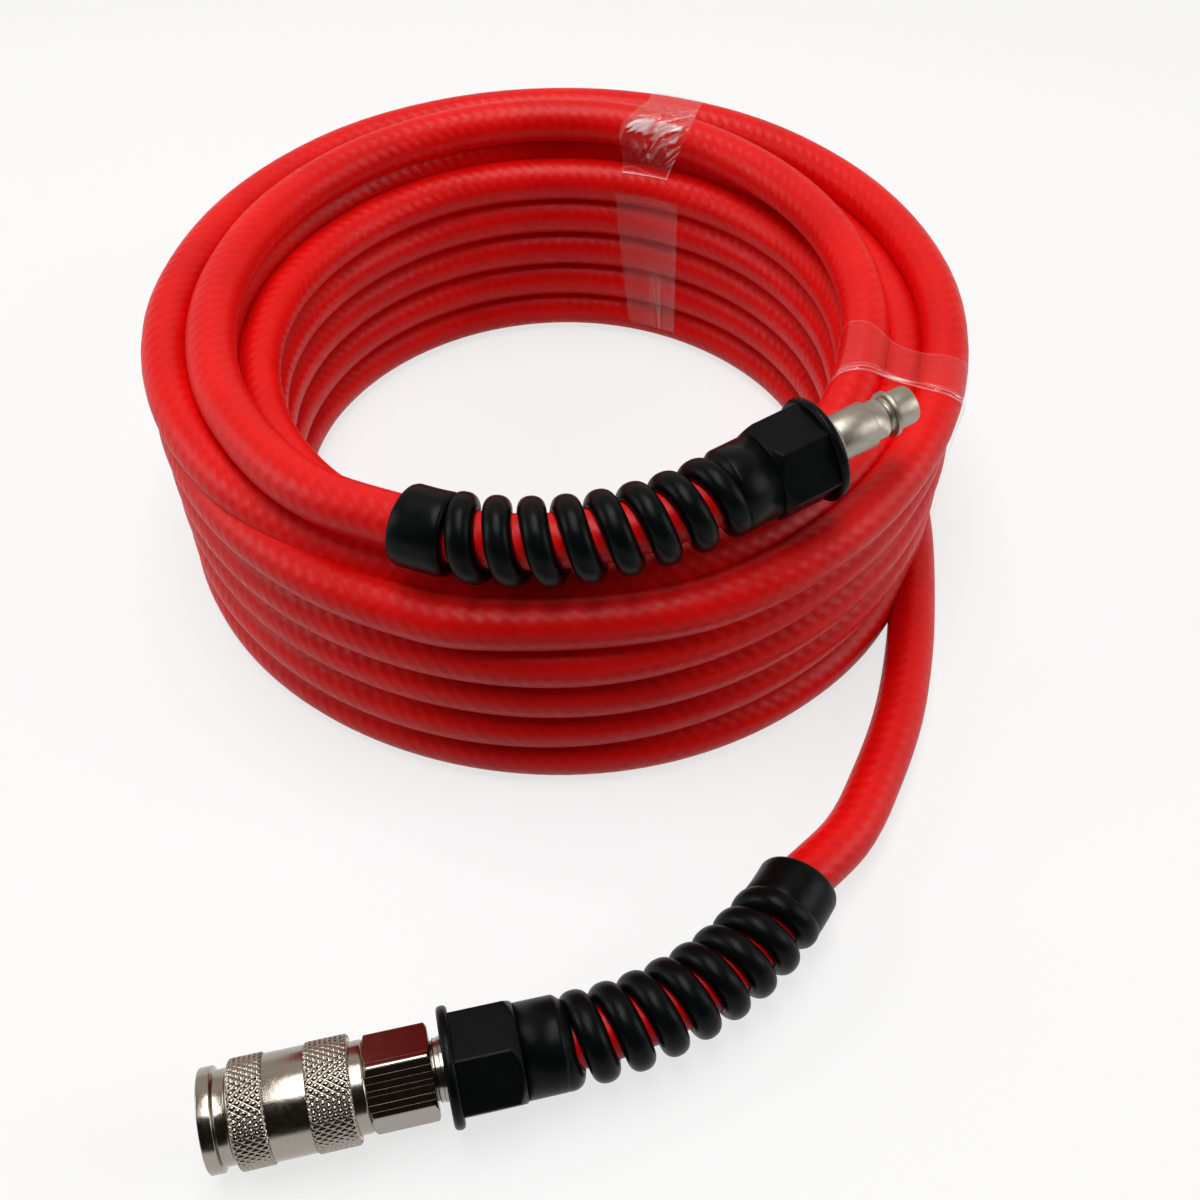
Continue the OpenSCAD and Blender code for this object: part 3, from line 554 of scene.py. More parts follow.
def guard_path(f):
    """Points along the middle of the hose, from its cut end to the end of the guard's collar."""
    m, r = guard_matrix(f), bend_r(f)
    end = STRAIGHT + f["spiral"] + COLLAR
    count = int((end - HOSE_END) / GUARD_STEP)
    return [m @ bend_frame(HOSE_END + (end - HOSE_END) * i / count, r)[0] for i in range(count + 1)]


def column(keys, wobble, seed):
    """Points along turns: keys are (azimuth, radius, height), eased between keys."""
    out = []
    az = keys[0][0] - COLUMN_STEP
    k = 0
    while az > keys[-1][0] + 0.5 * COLUMN_STEP:
        while k < len(keys) - 2 and az < keys[k + 1][0]:
            k += 1
        (a0, r0, z0), (a1, r1, z1) = keys[k], keys[k + 1]
        e = ease((a0 - az) / (a0 - a1))
        dr = wobble * noise.noise(Vector((az / 47.0, seed, 0.3)))
        dz = 0.5 * wobble * noise.noise(Vector((az / 39.0, seed, 7.7)))
        out.append(polar(az, r0 + (r1 - r0) * e + dr, z0 + (z1 - z0) * e + dz))
        az -= COLUMN_STEP
    return out


def steps_down(r, first_step, count):
    """Keys of turns that each step down one level a turn after the one before."""
    keys = []
    for k in range(count):
        keys.append((first_step[0] - TURN * k, r, TOP_Z - k * STEP_Z))
        keys.append((first_step[1] - TURN * k, r, TOP_Z - (k + 1) * STEP_Z))
    return keys


def inner_turns():
    keys = [(INNER_START, INNER_R, TOP_Z)] + steps_down(INNER_R, INNER_STEP, 4)
    keys.append((UNDER[0], INNER_R, FIRST_Z))
    keys.append((UNDER[1], MID_R, FIRST_Z + STEP_Z / 2))
    return column(keys, 0.5, 1.0)


def middle_turns():
    """Up the middle column at an even climb, and over to the outer one."""
    low, rise = FIRST_Z + STEP_Z / 2, MID_TOP_Z - FIRST_Z - STEP_Z / 2
    turns = (UNDER[1] - MID_OVER[0][0]) / TURN
    keys = [(UNDER[1], MID_R, low)]
    for i in range(1, 33):
        keys.append((UNDER[1] - i * MID_KEY, MID_R, low + rise * (i * MID_KEY / TURN) / turns))
    keys += [(az, MID_R, z) for az, z in MID_OVER]
    return column(keys, 0.3, 2.0)


def outer_turns():
    keys = [(OUTER_START, OUTER_R, TOP_Z)] + steps_down(OUTER_R, OUTER_STEP, 3)
    keys.append((OUTER_LAST_STEP[0], OUTER_R, FIRST_Z + STEP_Z))
    keys.append((OUTER_LAST_STEP[1], OUTER_R, FIRST_Z))
    keys.append((OUTER_END, OUTER_R, FIRST_Z))
    return column(keys, 0.7, 3.0) + [polar(OUTER_END, OUTER_R, FIRST_Z)]


def hose_route():
    """From the plug once round on top, down inside, up the middle, once round, down outside, and off."""
    route = guard_path(PLUG)
    route += [polar(a, INNER_R + r, TOP_Z + z) for a, r, z in INNER_ROUTE]
    route += inner_turns() + middle_turns()
    route += [polar(a - OUTER_OFFSET, OUTER_R + r, TOP_Z + z) for a, r, z in OUTER_ROUTE]
    route += outer_turns()
    route += [Vector((OUTER_R + x, COIL_Y + y, HOSE_R + z)) for x, y, z in TAIL_ROUTE]
    route += reversed(guard_path(COUPLER))
    return route


def resample(points, spacing):
    """The same line with even spacing, and its length."""
    total = [0.0]
    for a, b in zip(points, points[1:]):
        total.append(total[-1] + (b - a).length)
    count = int(total[-1] / spacing)
    out, k = [], 0
    for i in range(count + 1):
        s = total[-1] * i / count
        while k < len(points) - 2 and total[k + 1] < s:
            k += 1
        f = (s - total[k]) / max(1e-9, total[k + 1] - total[k])
        out.append(points[k].lerp(points[k + 1], f))
    return out, total[-1]


def tube_rows(points, radius, sides):
    """Rings along a line, which don't twist."""
    rows = []
    side = None
    for i, p in enumerate(points):
        d = (points[min(i + 1, len(points) - 1)] - points[max(i - 1, 0)]).normalized()
        if side is None:
            side = d.cross(Z_AXIS).normalized()
        side = (side - d * side.dot(d)).normalized()
        up = side.cross(d)
        rows.append([p + radius * (cos(TAU * j / sides) * side + sin(TAU * j / sides) * up)
                     for j in range(sides)])
    return rows


def hose_rows():
    """Rings of the hose, flat where it presses on the floor."""
    rows = tube_rows(route, HOSE_R, HOSE_SIDES)
    for row in rows:
        for p in row:
            p.z = max(p.z, 0.0)
    return rows


route, hose_length = resample(smooth_through(hose_route()), RING_STEP)
ring_gap = hose_length / (len(route) - 1)
hose = grid_mesh("hose", hose_rows(), False, True, uvs=lambda i, j: (i * ring_gap * MM, j / HOSE_SIDES),
                 mat=HOSE, caps=True)
fix_normals(hose)
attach(hose, "hose")
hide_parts("hose_coil", "hose_inner_turn", "hose_mid_turn", "hose_outer_turn", "hose_bottom_turn",
            "hose_top_inner", "hose_top_outer", "hose_tail", "hose_plug_end", "hose_coupler_end")

# -------- bend guards
GUARD_SEG = 120
GUARD_BORE_R = 6.95
# corners of profiles are (radius, distance from the guard's face, rounding)
FLANGE = [(7.4, 0, 0.3), (13.48, 0, 1.0), (13.48, 2.5, 1.0), (7.4, 2.5, 0.3)]
NECK = [(9.0, 16.8, 0), (10.8, 16.8, 0), (10.8, 26.2, 1.4), (8.5, 28.9, 0.8), (GUARD_BORE_R, 28.9, 0.2),
        (GUARD_BORE_R, 16.8, 0)]
# the hexagon: its back, how far that closes inwards, what its corners lose, and its bevel
HEX_BACK = 17.0
HEX_BACK_R = 9.0
HEX_SOFT = 0.14
HEX_BEVEL_R = 10.95
HEX_BEVEL_SLOPE = 0.95
HEX_RINGS = (2.3, 8.0, 14.0, 14.6, 15.0, 15.3, 15.6, 15.9, 16.15, 16.4, 16.6, 16.75, 16.88, HEX_BACK)
# degrees from one corner of the hexagon to the next, closer together near the corners
HEX_FAN = (0, 0.7, 1.5, 2.5, 4, 6, 9, 12, 16, 20, 25, 30, 35, 40, 44, 48, 51, 54, 56, 57.5, 58.5, 59.3)
# the collar: its radius, and how far behind the spiral's end it starts
COLLAR_R = 10.25
COLLAR_GAP = 2.7
# the rib: half its width, foot, crest, start, run into the collar, points on its arc, rings to a turn
RIB_HALF = 3.5
RIB_LOW = 6.98
RIB_HIGH = 10.85
RIB_START = 21.5
RIB_IN_COLLAR = 4.6
RIB_ARC = 18
RIB_PER_TURN = 48


def bent_lathe(name, profile, m, r):
    """Closed profile of (radius, distance) turned about the guard's bent axis."""
    rows = []
    for radius, t in profile:
        mid, _, inside = bend_frame(t, r)
        row = []
        for j in range(GUARD_SEG):
            a = TAU * j / GUARD_SEG
            row.append(m @ (mid + radius * (cos(a) * X_AXIS + sin(a) * inside)))
        rows.append(row)
    return grid_mesh(name, rows, True, True, mat=GUARD)


def guard_hexagon(m, turned):
    """Hexagon with soft corners, which are bevelled towards the neck."""
    angles = [radians(turned + 60 * k + x) for k in range(6) for x in HEX_FAN]
    rows = []
    for t in HEX_RINGS:
        row = []
        for a in angles:
            off_flat = (a - radians(turned)) % (pi / 3) - pi / 6
            radius = min(HEX_APOTHEM / cos(off_flat), HEX_CORNER_R - HEX_SOFT,
                         HEX_BEVEL_R + (HEX_BACK - t) * HEX_BEVEL_SLOPE)
            row.append(m @ round_axis(a, radius, t))
        rows.append(row)
    rows.append([m @ round_axis(a, HEX_BACK_R, HEX_BACK) for a in angles])
    return grid_mesh("hexagon", rows, False, True, mat=GUARD)


def collar_profile(c0, c1):
    """Wall with rounded rims between two distances, in short lengths so that it can bend."""
    wall = [(COLLAR_R - 1.3, c0), (COLLAR_R - 0.4, c0 + 0.35), (COLLAR_R, c0 + 1.3)]
    wall += [(COLLAR_R, c0 + 1.3 + (c1 - c0 - 2.6) * k / 5.0) for k in range(1, 5)]
    wall += [(COLLAR_R, c1 - 1.1), (COLLAR_R - 0.3, c1 - 0.35), (COLLAR_R - 1.0, c1), (GUARD_BORE_R, c1)]
    return wall + [(GUARD_BORE_R, c1 + (c0 - c1) * k / 5.0) for k in range(1, 6)]


def rib_section():
    """Rounded rib on a flat foot: places along the hose and distances from its middle."""
    section = []
    for k in range(RIB_ARC + 1):
        a = pi * k / RIB_ARC
        x = RIB_HALF * math.copysign(abs(cos(a)) ** 0.9, cos(a))
        section.append((x, RIB_LOW + (RIB_HIGH - RIB_LOW) * sin(a) ** 0.8))
    return section + [(RIB_HALF * x, RIB_LOW - 0.02) for x in (-0.82, -0.4, 0.4, 0.82)]


def guard_spiral(m, r, f, c0):
    """Open spiral, which grows out of the neck and sinks into the collar."""
    section = rib_section()
    rows = []
    t = RIB_START
    while t < c0 + RIB_IN_COLLAR:
        a = TAU * (t - f["rise"]) / f["pitch"]
        sink = max(ease((t - c0 - 0.4) / 4.0), 0.5 * ease((27.5 - t) / 3.0))
        mid, direction, inside = bend_frame(t, r)
        out = cos(a) * X_AXIS + sin(a) * inside
        row = []
        for along, height in section:
            height -= sink * 1.5 * (height - RIB_LOW) / (RIB_HIGH - RIB_LOW)
            row.append(m @ (mid + along * (1 - 0.3 * sink) * direction + height * out))
        rows.append(row)
        t += f["pitch"] / RIB_PER_TURN
    return grid_mesh("spiral", rows, False, True, mat=GUARD, caps=True)


def build_guard(name, f):
    """Flange, hexagon, neck, collar and open spiral, in one moulding."""
    m, r = guard_matrix(f), bend_r(f)
    c0 = STRAIGHT + f["spiral"] + COLLAR_GAP
    c1 = STRAIGHT + f["spiral"] + COLLAR
    parts = [bent_lathe("flange", rounded(FLANGE, 5), m, r),
             guard_hexagon(m, f["hex"]),
             bent_lathe("neck", rounded(NECK, 6), m, r),
             bent_lathe("collar", collar_profile(c0, c1), m, r),
             guard_spiral(m, r, f, c0)]
    for part in parts:
        fix_normals(part)
    obj = join(name, parts)
    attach(obj, "hose")
    return obj


guard_a = build_guard("bend_guard_plug", PLUG)
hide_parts("plug_guard")
guard_b = build_guard("bend_guard_coupler", COUPLER)
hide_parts("coupler_guard")

# -------- plug nipple
# the barbed tail: its bore, its shank in the guard's flange, its tube, barbs and end
STEM_BORE_R = 2.75
SHANK_R = 7.2
TAIL_R = 3.9
BARB_R = 4.4
BARB_PITCH = 6
TAIL_END = 31.2
# the plug's waist, its ridge and its guiding body
WAIST_R = 5.0
RIDGE_R = 5.95
BODY_R = 6.0


def barbed(face):
    """Shank through the guard's flange and barbed tail, back to the bore."""
    points = [(SHANK_R, face + 2.7), (TAIL_R, face + 2.7)]
    for k in range(4):
        s = face + HOSE_END + 3 + BARB_PITCH * k
        points += [(TAIL_R, s), (BARB_R, s), (TAIL_R, s + 5.1)]
    return points + [(3.6, face + TAIL_END), (STEM_BORE_R, face + TAIL_END)]


def locking_groove():
    """Rounded groove behind the ridge, which the balls drop into."""
    middle, depth, half_w = 8.2, 0.8, 0.95
    angles = [pi * (0.5 + k / 8.0) for k in range(9)]
    return [(WAIST_R + depth * cos(a), middle - half_w * sin(a)) for a in angles]


def nipple_profile():
    """Tip, ridge, groove, guiding body and collar, from the open end to the guard's face."""
    face = PLUG["face"]
    tip = [(STEM_BORE_R, 0.0), (4.3, 0.0), (4.75, 0.18), (WAIST_R, 0.75), (WAIST_R, 5.35)]
    ridge = [(5.25, 5.62), (RIDGE_R, 6.25), (RIDGE_R, 6.95), (5.75, 7.22), (5.05, 7.25)]
    waist = [(WAIST_R, 9.15), (WAIST_R, 12.45), (5.15, 12.75), (5.85, 12.95)]
    body = [(BODY_R, 13.15), (BODY_R, 23.0), (5.9, 23.2)]
    collar = [(6.3, 23.25), (6.5, 23.45), (6.5, 26.9), (6.4, face), (SHANK_R, face)]
    return tip + ridge + locking_groove() + waist + body + collar + barbed(face)


nipple = lathe("nipple", nipple_profile(), fitting_matrix(PLUG), 160, NICKEL)
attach(nipple, "hose")
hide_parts("plug_nipple")

# -------- coupler
CM = fitting_matrix(COUPLER)
# corners of profiles are (radius, distance from the coupler's mouth, rounding)
SLEEVE = [(9.6, 0, 0.15), (11.3, 0, 0.35), (11.3, 2.95, 0.35), (10.2, 3.35, 0.25), (10.2, 5.75, 0.5),
          (11.3, 6.4, 0), (11.3, 14.0, 0), (11.5, 14.05, 0.1), (11.5, 22.95, 0.1), (11.3, 23.0, 0),
          (11.3, 32.2, 0), (11.0, 32.5, 0.15), (10.15, 32.5, 0.15), (10.15, 15.0, 0), (8.65, 15.0, 0),
          (8.65, 11.8, 0), (9.85, 8.8, 0), (9.85, 6.9, 0), (8.65, 6.9, 0), (8.65, 3.2, 0), (9.6, 3.2, 0)]
NUT_COLLAR = [(8.55, 30, 0), (10.05, 30, 0.4), (10.05, 35.5, 0.9), (8.55, 35.5, 0)]
STEM = [(STEM_BORE_R, 41.5, 0), (5.73, 41.5, 0), (6.53, 42.3, 0), (6.53, 50.6, 0.1), (7.0, 50.6, 0.5),
        (7.0, 51.8, 0.3), (SHANK_R, 51.8, 0.3), (SHANK_R, COUPLER["face"], 0)]
# the knurl: crest radius, grooves each way round, their depth, the angle between them and the round,
# and the width and drop of the band's worn edges
KNURL_R = 11.92
KNURL_STARTS = 46
KNURL_DEPTH = 0.34
KNURL_ANGLE = 54
KNURL_EDGE = 0.45
KNURL_DROP = 0.42
# the nut: half across its flats, the azimuth of a corner, its two ends, and what its corners lose
NUT_APOTHEM = 9.5
NUT_CORNER_R = NUT_APOTHEM / cos(pi / 6)
NUT_CORNER_AZ = 4.0
NUT_FRONT = 35.5
NUT_BACK = 50.0
NUT_SOFT = 0.12
NUT_BEVEL = 1.05
NUT_BEVEL_SLOPE = 1.75
NUT_FAN = (0, 0.6, 1.2, 2.0, 3.0, 4.5, 6.5, 9, 12, 16, 20, 25, 30, 35, 40, 44, 48, 51, 53.5, 55.5, 57, 58,
           58.8, 59.4)
NUT_RINGS = (NUT_FRONT, 35.55, 35.62, 35.7, 35.8, 35.9, 36.0, 36.1, 36.25, 36.5, 38, 40, 43, 46, 48, 49.0,
             49.25, 49.4, 49.5, 49.6, 49.7, 49.8, 49.88, 49.95, NUT_BACK)
# the nut's bore, as (radius, distance) from its back inwards
NUT_BORE = ((6.6, NUT_BACK), (6.6, 41.0), (5.2, 41.0), (5.2, 36.0))


def knurl(name, s0, s1):
    """Band of raised diamonds between two distances along the axis."""
    seg = KNURL_STARTS * 10
    pitch = TAU * KNURL_R / KNURL_STARTS
    lead = math.tan(radians(KNURL_ANGLE))
    count = int((s1 - s0) / (pitch / 9.0))
    rows = []
    for i in range(count + 1):
        s = s0 + (s1 - s0) * i / count
        inside = min(1.0, (s - s0) / KNURL_EDGE, (s1 - s) / KNURL_EDGE)
        drop = KNURL_DROP * (1 - max(0.0, inside)) ** 1.5
        row = []
        for j in range(seg):
            a = TAU * j / seg
            one_way = pi * (KNURL_R * a + (s - s0) / lead) / pitch
            other_way = pi * (KNURL_R * a - (s - s0) / lead) / pitch
            height = min(1.0, min(abs(sin(one_way)), abs(sin(other_way))) * 1.25)
            radius = KNURL_R - KNURL_DEPTH + KNURL_DEPTH * height - drop
            row.append(CM @ round_axis(a, radius, s))
        rows.append(row)
    obj = grid_mesh(name, rows, False, True, mat=KNURLED,
                    uvs=lambda i, j: ((s0 + (s1 - s0) * i / count) * MM, j / seg))
    fix_normals(obj)
    return obj


def nut_radius(a, s):
    """Hexagon with soft corners, turned off at both ends."""
    off_flat = (a - radians(NUT_CORNER_AZ)) % (pi / 3) - pi / 6
    cone = NUT_CORNER_R - NUT_BEVEL + min(s - NUT_FRONT, NUT_BACK - s) * NUT_BEVEL_SLOPE
    return min(NUT_APOTHEM / cos(off_flat), NUT_CORNER_R - NUT_SOFT, cone)


def build_nut():
    angles = []
    for k in range(6):
        corner = radians(NUT_CORNER_AZ + 60 * k)
        angles += [corner + radians(x) for x in NUT_FAN]

    def ring(radius, s):
        return [CM @ round_axis(a, radius, s) for a in angles]

    def marks_uv(i, j):
        """Drawn bar, so its fine marks run along the axis."""
        whole_turn = TAU if j == len(angles) else 0
        return (angles[j % len(angles)] + whole_turn) * ROUND_UV, i * 0.01

    rows = [ring(8.6, NUT_FRONT)]
    rows += [[CM @ round_axis(a, nut_radius(a, s), s) for a in angles] for s in NUT_RINGS]
    rows += [ring(radius, s) for radius, s in NUT_BORE]
    nut = grid_mesh("nut", rows, True, True, mat=NUT_SHADED_NICKEL, uvs=marks_uv)
    fix_normals(nut)
    return nut


sleeve = join("sleeve", [lathe("sleeve_core", rounded(SLEEVE, 4), CM, 192, POLISHED),
                         knurl("knurl_a", 6.45, 14.0),
                         knurl("knurl_b", 23.0, 32.45)])
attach(sleeve, "sleeve")
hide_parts("coupler_sleeve")

# the nut, and the round collar under the sleeve
rear = join("rear_body", [build_nut(), lathe("nut_collar", rounded(NUT_COLLAR, 5), CM, 144, POLISHED)])
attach(rear, "hose")
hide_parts("coupler_rear_body")

stem = lathe("stem", rounded(STEM, 5) + barbed(COUPLER["face"]), CM, 144, POLISHED)
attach(stem, "hose")
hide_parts("coupler_stem")

# -------- springs
WIRE_SIDES = 12
# rings to a turn, and the part of a turn that is closed at each end
WIRE_PER_TURN = 36
CLOSED = 0.75


def wire_spring(name, wire, mid_r, s0, s1, turns):
    """Spring with closed ends, between s0 and s1 along the coupler's axis."""
    free = s1 - s0 - wire - 2 * CLOSED * wire
    points = []
    for i in range(turns * WIRE_PER_TURN + 1):
        t = i / WIRE_PER_TURN
        s = s0 + wire / 2 + wire * (min(t, CLOSED) + max(0.0, t - turns + CLOSED))
        s += free * min(1.0, max(0.0, (t - CLOSED) / (turns - 2 * CLOSED)))
        points.append(CM @ round_axis(TAU * t, mid_r, s))
    obj = grid_mesh(name, tube_rows(points, wire / 2, WIRE_SIDES), False, True, mat=STEEL, caps=True,
                    uvs=lambda i, j: (i * TAU * mid_r / WIRE_PER_TURN * MM, j / WIRE_SIDES))
    fix_normals(obj)
    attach(obj, "hose")
    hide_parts(name.replace("coiled_", ""))
    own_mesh(obj)


wire_spring("coiled_sleeve_spring", 1.1, 9.35, 15.1, 29.9, 5)
wire_spring("coiled_valve_spring", 0.8, 6.4, 25.1, 39.9, 6)

# -------- inner pieces keep their solids
INNER_PIECES = {"plug_ferrule": STEEL, "coupler_ferrule": STEEL, "coupler_front_body": NICKEL,
                "sleeve_stop_ring": STEEL, "valve_poppet": STEEL, "valve_ring": SEAL, "plug_seal": SEAL}
for ball in range(1, 7):
    INNER_PIECES["ball_%d" % ball] = STEEL
for node, mat in INNER_PIECES.items():
    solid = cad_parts[node]
    if not solid.material_slots:
        solid.data.materials.append(mat)
    for slot in solid.material_slots:
        slot.material = mat


# -------- tape
# A strip runs through stations of radius, height, the azimuths of its two edges, and the lean of
# radius and height for each degree. On it, a runs across from 0 to 1 and b along. Its lift is how
# far it stands off the stations, and its show how white and how shiny the film is. The white is the
# film's edges and folds, and also painted glints, painted glare and a veil of painted reflection.
BACK_INNER = [(81.1, 6.5, 73.5, 61.5, 0, 0), (81.1, 32, 75.8, 61.9, 0, 0), (81.1, 58.8, 77.6, 62.2, 0, 0)]
BACK_TOP = [
    (84.3, 64.3, 76.5, 66.0, 0, -0.04), (85.8, 65.5, 76.6, 66.0, 0.03, 0), (86.2, 69.8, 76.9, 65.0, 0.08, 0),
    (86.55, 75.4, 77.6, 63.6, 0.11, 0), (87.3, 79.0, 77.4, 62.9, 0.11, 0), (89.2, 81.2, 76.2, 62.6, 0.11, 0),
    (92.0, 82.4, 75.0, 62.6, 0.11, 0), (95.0, 82.5, 74.5, 63.0, 0.09, 0), (98.0, 81.5, 74.3, 63.6, 0.06, 0),
    (101.5, 80.3, 74.3, 64.2, 0.03, 0), (105.0, 79.5, 74.3, 64.7, 0, 0), (108.0, 78.9, 74.4, 65.0, 0, 0),
    (110.5, 78.7, 74.4, 65.2, 0, 0), (113.6, 77.7, 74.4, 65.4, 0, 0), (115.9, 75.3, 74.4, 65.4, 0, 0),
    (116.8, 72.5, 74.4, 65.4, 0, 0)]
RIGHT = [
    (81.0, 68.0, -9.3, -31.0, 0, 0.2), (81.6, 71.8, -9.2, -27.0, 0, 0.21),
    (83.6, 74.9, -9.4, -23.6, 0, 0.21), (88.0, 76.0, -10.0, -22.0, 0, 0.21),
    (92.0, 74.7, -11.0, -20.8, 0, 0.20), (96.0, 72.8, -11.8, -20.2, 0, 0.17),
    (100.0, 72.2, -12.4, -20.2, 0, 0.15), (104.0, 72.6, -13.0, -20.6, 0, 0.13),
    (107.3, 73.3, -13.3, -21.1, 0, 0.12), (110.6, 73.6, -13.4, -21.3, 0, 0.12),
    (114.2, 72.6, -13.2, -21.0, 0, 0.12), (116.9, 70.1, -12.6, -20.4, 0, 0.12),
    (117.6, 66.5, -12.3, -19.6, 0, 0.08), (117.3, 60.0, -12.8, -19.0, 0, 0),
    (117.0, 52.0, -13.2, -18.9, 0, 0), (116.9, 43.0, -13.8, -19.6, 0, 0), (116.9, 34.0, -14.6, -20.4, 0, 0),
    (116.9, 26.0, -15.4, -21.3, 0, 0), (116.9, 19.0, -16.0, -22.0, 0, 0), (116.9, 14.0, -16.4, -22.2, 0, 0)]
# width and length of the strip on top, in millimetres
TOP_SIZE = (23.0, 52.0)
# shine of film that lies smooth
SMOOTH_SHINE = 0.12


def tape_material():
    """Clear film: white where the first UV says so, and otherwise see-through and shiny by the second. The
    white paints glints, glare and the film's reflection as well as its edges and folds.
    """
    n = Nodes("clear_tape")
    white, shine = n.uv()
    normal = n.bump(n.noise(420.0, 3.0, 0.6), 0.00008)
    film = n.put("ShaderNodeBsdfPrincipled", Base_Color=(0.95, 0.90, 0.90, 1.0), Roughness=0.25)
    gloss = n.put("ShaderNodeBsdfAnisotropic", Color=(1.0, 1.0, 1.0, 1.0), Roughness=0.12, Normal=normal)
    clear = n.put("ShaderNodeBsdfTransparent", Color=(0.97, 0.97, 0.97, 1.0))
    fresnel = n.put("ShaderNodeFresnel", IOR=1.45, Normal=normal)
    reflection = n.times(n.math('MINIMUM', fresnel.outputs[0], 0.35), shine)
    n.surface(n.mix_shader(white, n.mix_shader(reflection, clear, gloss), film))
    return n.mat


TAPE = tape_material()


def along_list(stations, b):
    """Smooth value between the stations of a strip."""
    x = min(b, 0.99999) * (len(stations) - 1)
    i = int(x)
    f = x - i
    p0, p1 = stations[max(i - 1, 0)], stations[i]
    p2, p3 = stations[i + 1], stations[min(i + 2, len(stations) - 1)]
    return [0.5 * (2 * q1 + (q2 - q0) * f + (2 * q0 - 5 * q1 + 4 * q2 - q3) * f * f
                   + (3 * q1 - q0 - 3 * q2 + q3) * f ** 3) for q0, q1, q2, q3 in zip(p0, p1, p2, p3)]


def film_strip(node, stations, az_mid, nu, nv, lift, show, drop=lambda a, b: 0.0):
    """Strip of film of nu by nv faces. It leans about az_mid, and drop lowers its end."""
    rows, seen = [], []
    for j in range(nv + 1):
        b = j / nv
        r, z, az0, az1, lean_r, lean_z = along_list(stations, b)
        q0, q1 = along_list(stations, max(0.0, b - 0.01)), along_list(stations, min(1.0, b + 0.01))
        tr, tz = q1[0] - q0[0], q1[1] - q0[1]
        size = math.hypot(tr, tz)
        row = []
        for i in range(nu + 1):
            a = i / nu
            az = az0 + (az1 - az0) * a
            up = lift(a, b)
            row.append(polar(az, r + lean_r * (az - az_mid) - up * tz / size,
                             z + lean_z * (az - az_mid) + up * tr / size - drop(a, b)))
            white, shine = show(a, b)
            seen.append((min(0.95, max(0.0, white)), shine))
        rows.append(row)
    obj = grid_mesh("film_" + node, rows, False, False, mat=TAPE)
    layer = obj.data.uv_layers.new(name="UVMap")
    for loop in obj.data.loops:
        layer.data[loop.index].uv = seen[loop.vertex_index]
    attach(obj, "hose")
    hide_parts(node)


def cut_edge(a):
    """True along the two long edges of a strip, which show as a thin line."""
    return a < 0.012 or a > 0.988


def inner_lift(a, b):
    low = ease((0.55 - b) / 0.3)
    return 0.22 * bell(a - 0.57, 0.05) * low + 0.15 * bell(a - 0.68, 0.03) * low


def inner_show(a, b):
    """A veil of painted reflection, and a long narrow fold that comes to a point at the foot of the strip.
    """
    v = 0.048 + 0.010 * noise.noise(Vector((a * 4, b * 6, 5.0)))
    left, right = 0.54 + 0.13 * (0.5 - b) / 0.5, 0.70 - 0.02 * (0.5 - b) / 0.5
    v += 0.05 * ease((0.52 - b) / 0.06) * ease((a - left) / 0.015 + 0.5) * ease((right - a) / 0.015 + 0.5)
    v += 0.26 * (bell(a - left, 0.012) + bell(a - right, 0.012)) * ease((0.53 - b) / 0.2)
    return v + 0.02 * cut_edge(a), SMOOTH_SHINE


def saw_edge(a, b):
    """Teeth that the tape's cutter leaves along the top edge, a millimetre deep."""
    return abs(2 * ((a * 10) % 1.0) - 1) * ease((b - 0.975) / 0.025)


def shards(a, b, wide, long, seed):
    """Slanted facets of crumpled film: place across one, its ends, and its own random value."""
    x, y = a * TOP_SIZE[0], b * TOP_SIZE[1]
    across = (0.74 * x - 0.67 * y) / wide + 0.5 * noise.noise(Vector((a * 4, b * 7, seed)))
    k = math.floor(across)
    lengthways = (0.67 * x + 0.74 * y) / long + 5 * noise.cell(Vector((k + 0.5, 0.5, seed)))
    m = math.floor(lengthways)
    return (across - k, min(1.0, 5 * min(lengthways - m, m + 1 - lengthways)),
            noise.cell(Vector((k + 0.5, m + 0.5, seed + 3))))


def top_fold(a):
    """Where the crumpled stretch ends in a curled line, as a share of the strip."""
    return 0.20 + 0.16 * ease(a / 0.15) + 0.29 * max(0.0, (a - 0.2) / 0.8) ** 1.3


def top_crumple(a, b):
    return ease((b - 0.09) / 0.07) * ease((top_fold(a) - b) / 0.07 + 0.5)


def top_lift(a, b):
    """Facets of two sizes where the film is crumpled, and the curled line."""
    f, ends, own = shards(a, b, 2.1, 8.0, 1.5)
    g, ends2, own2 = shards(1 - a, b, 3.4, 11.0, 4.5)
    facets = 0.55 * own * ends * (1 - abs(2 * f - 1)) + 0.45 * own2 * ends2 * (1 - abs(2 * g - 1))
    return 0.05 + top_crumple(a, b) * facets + 0.2 * bell(b - top_fold(a), 0.02)


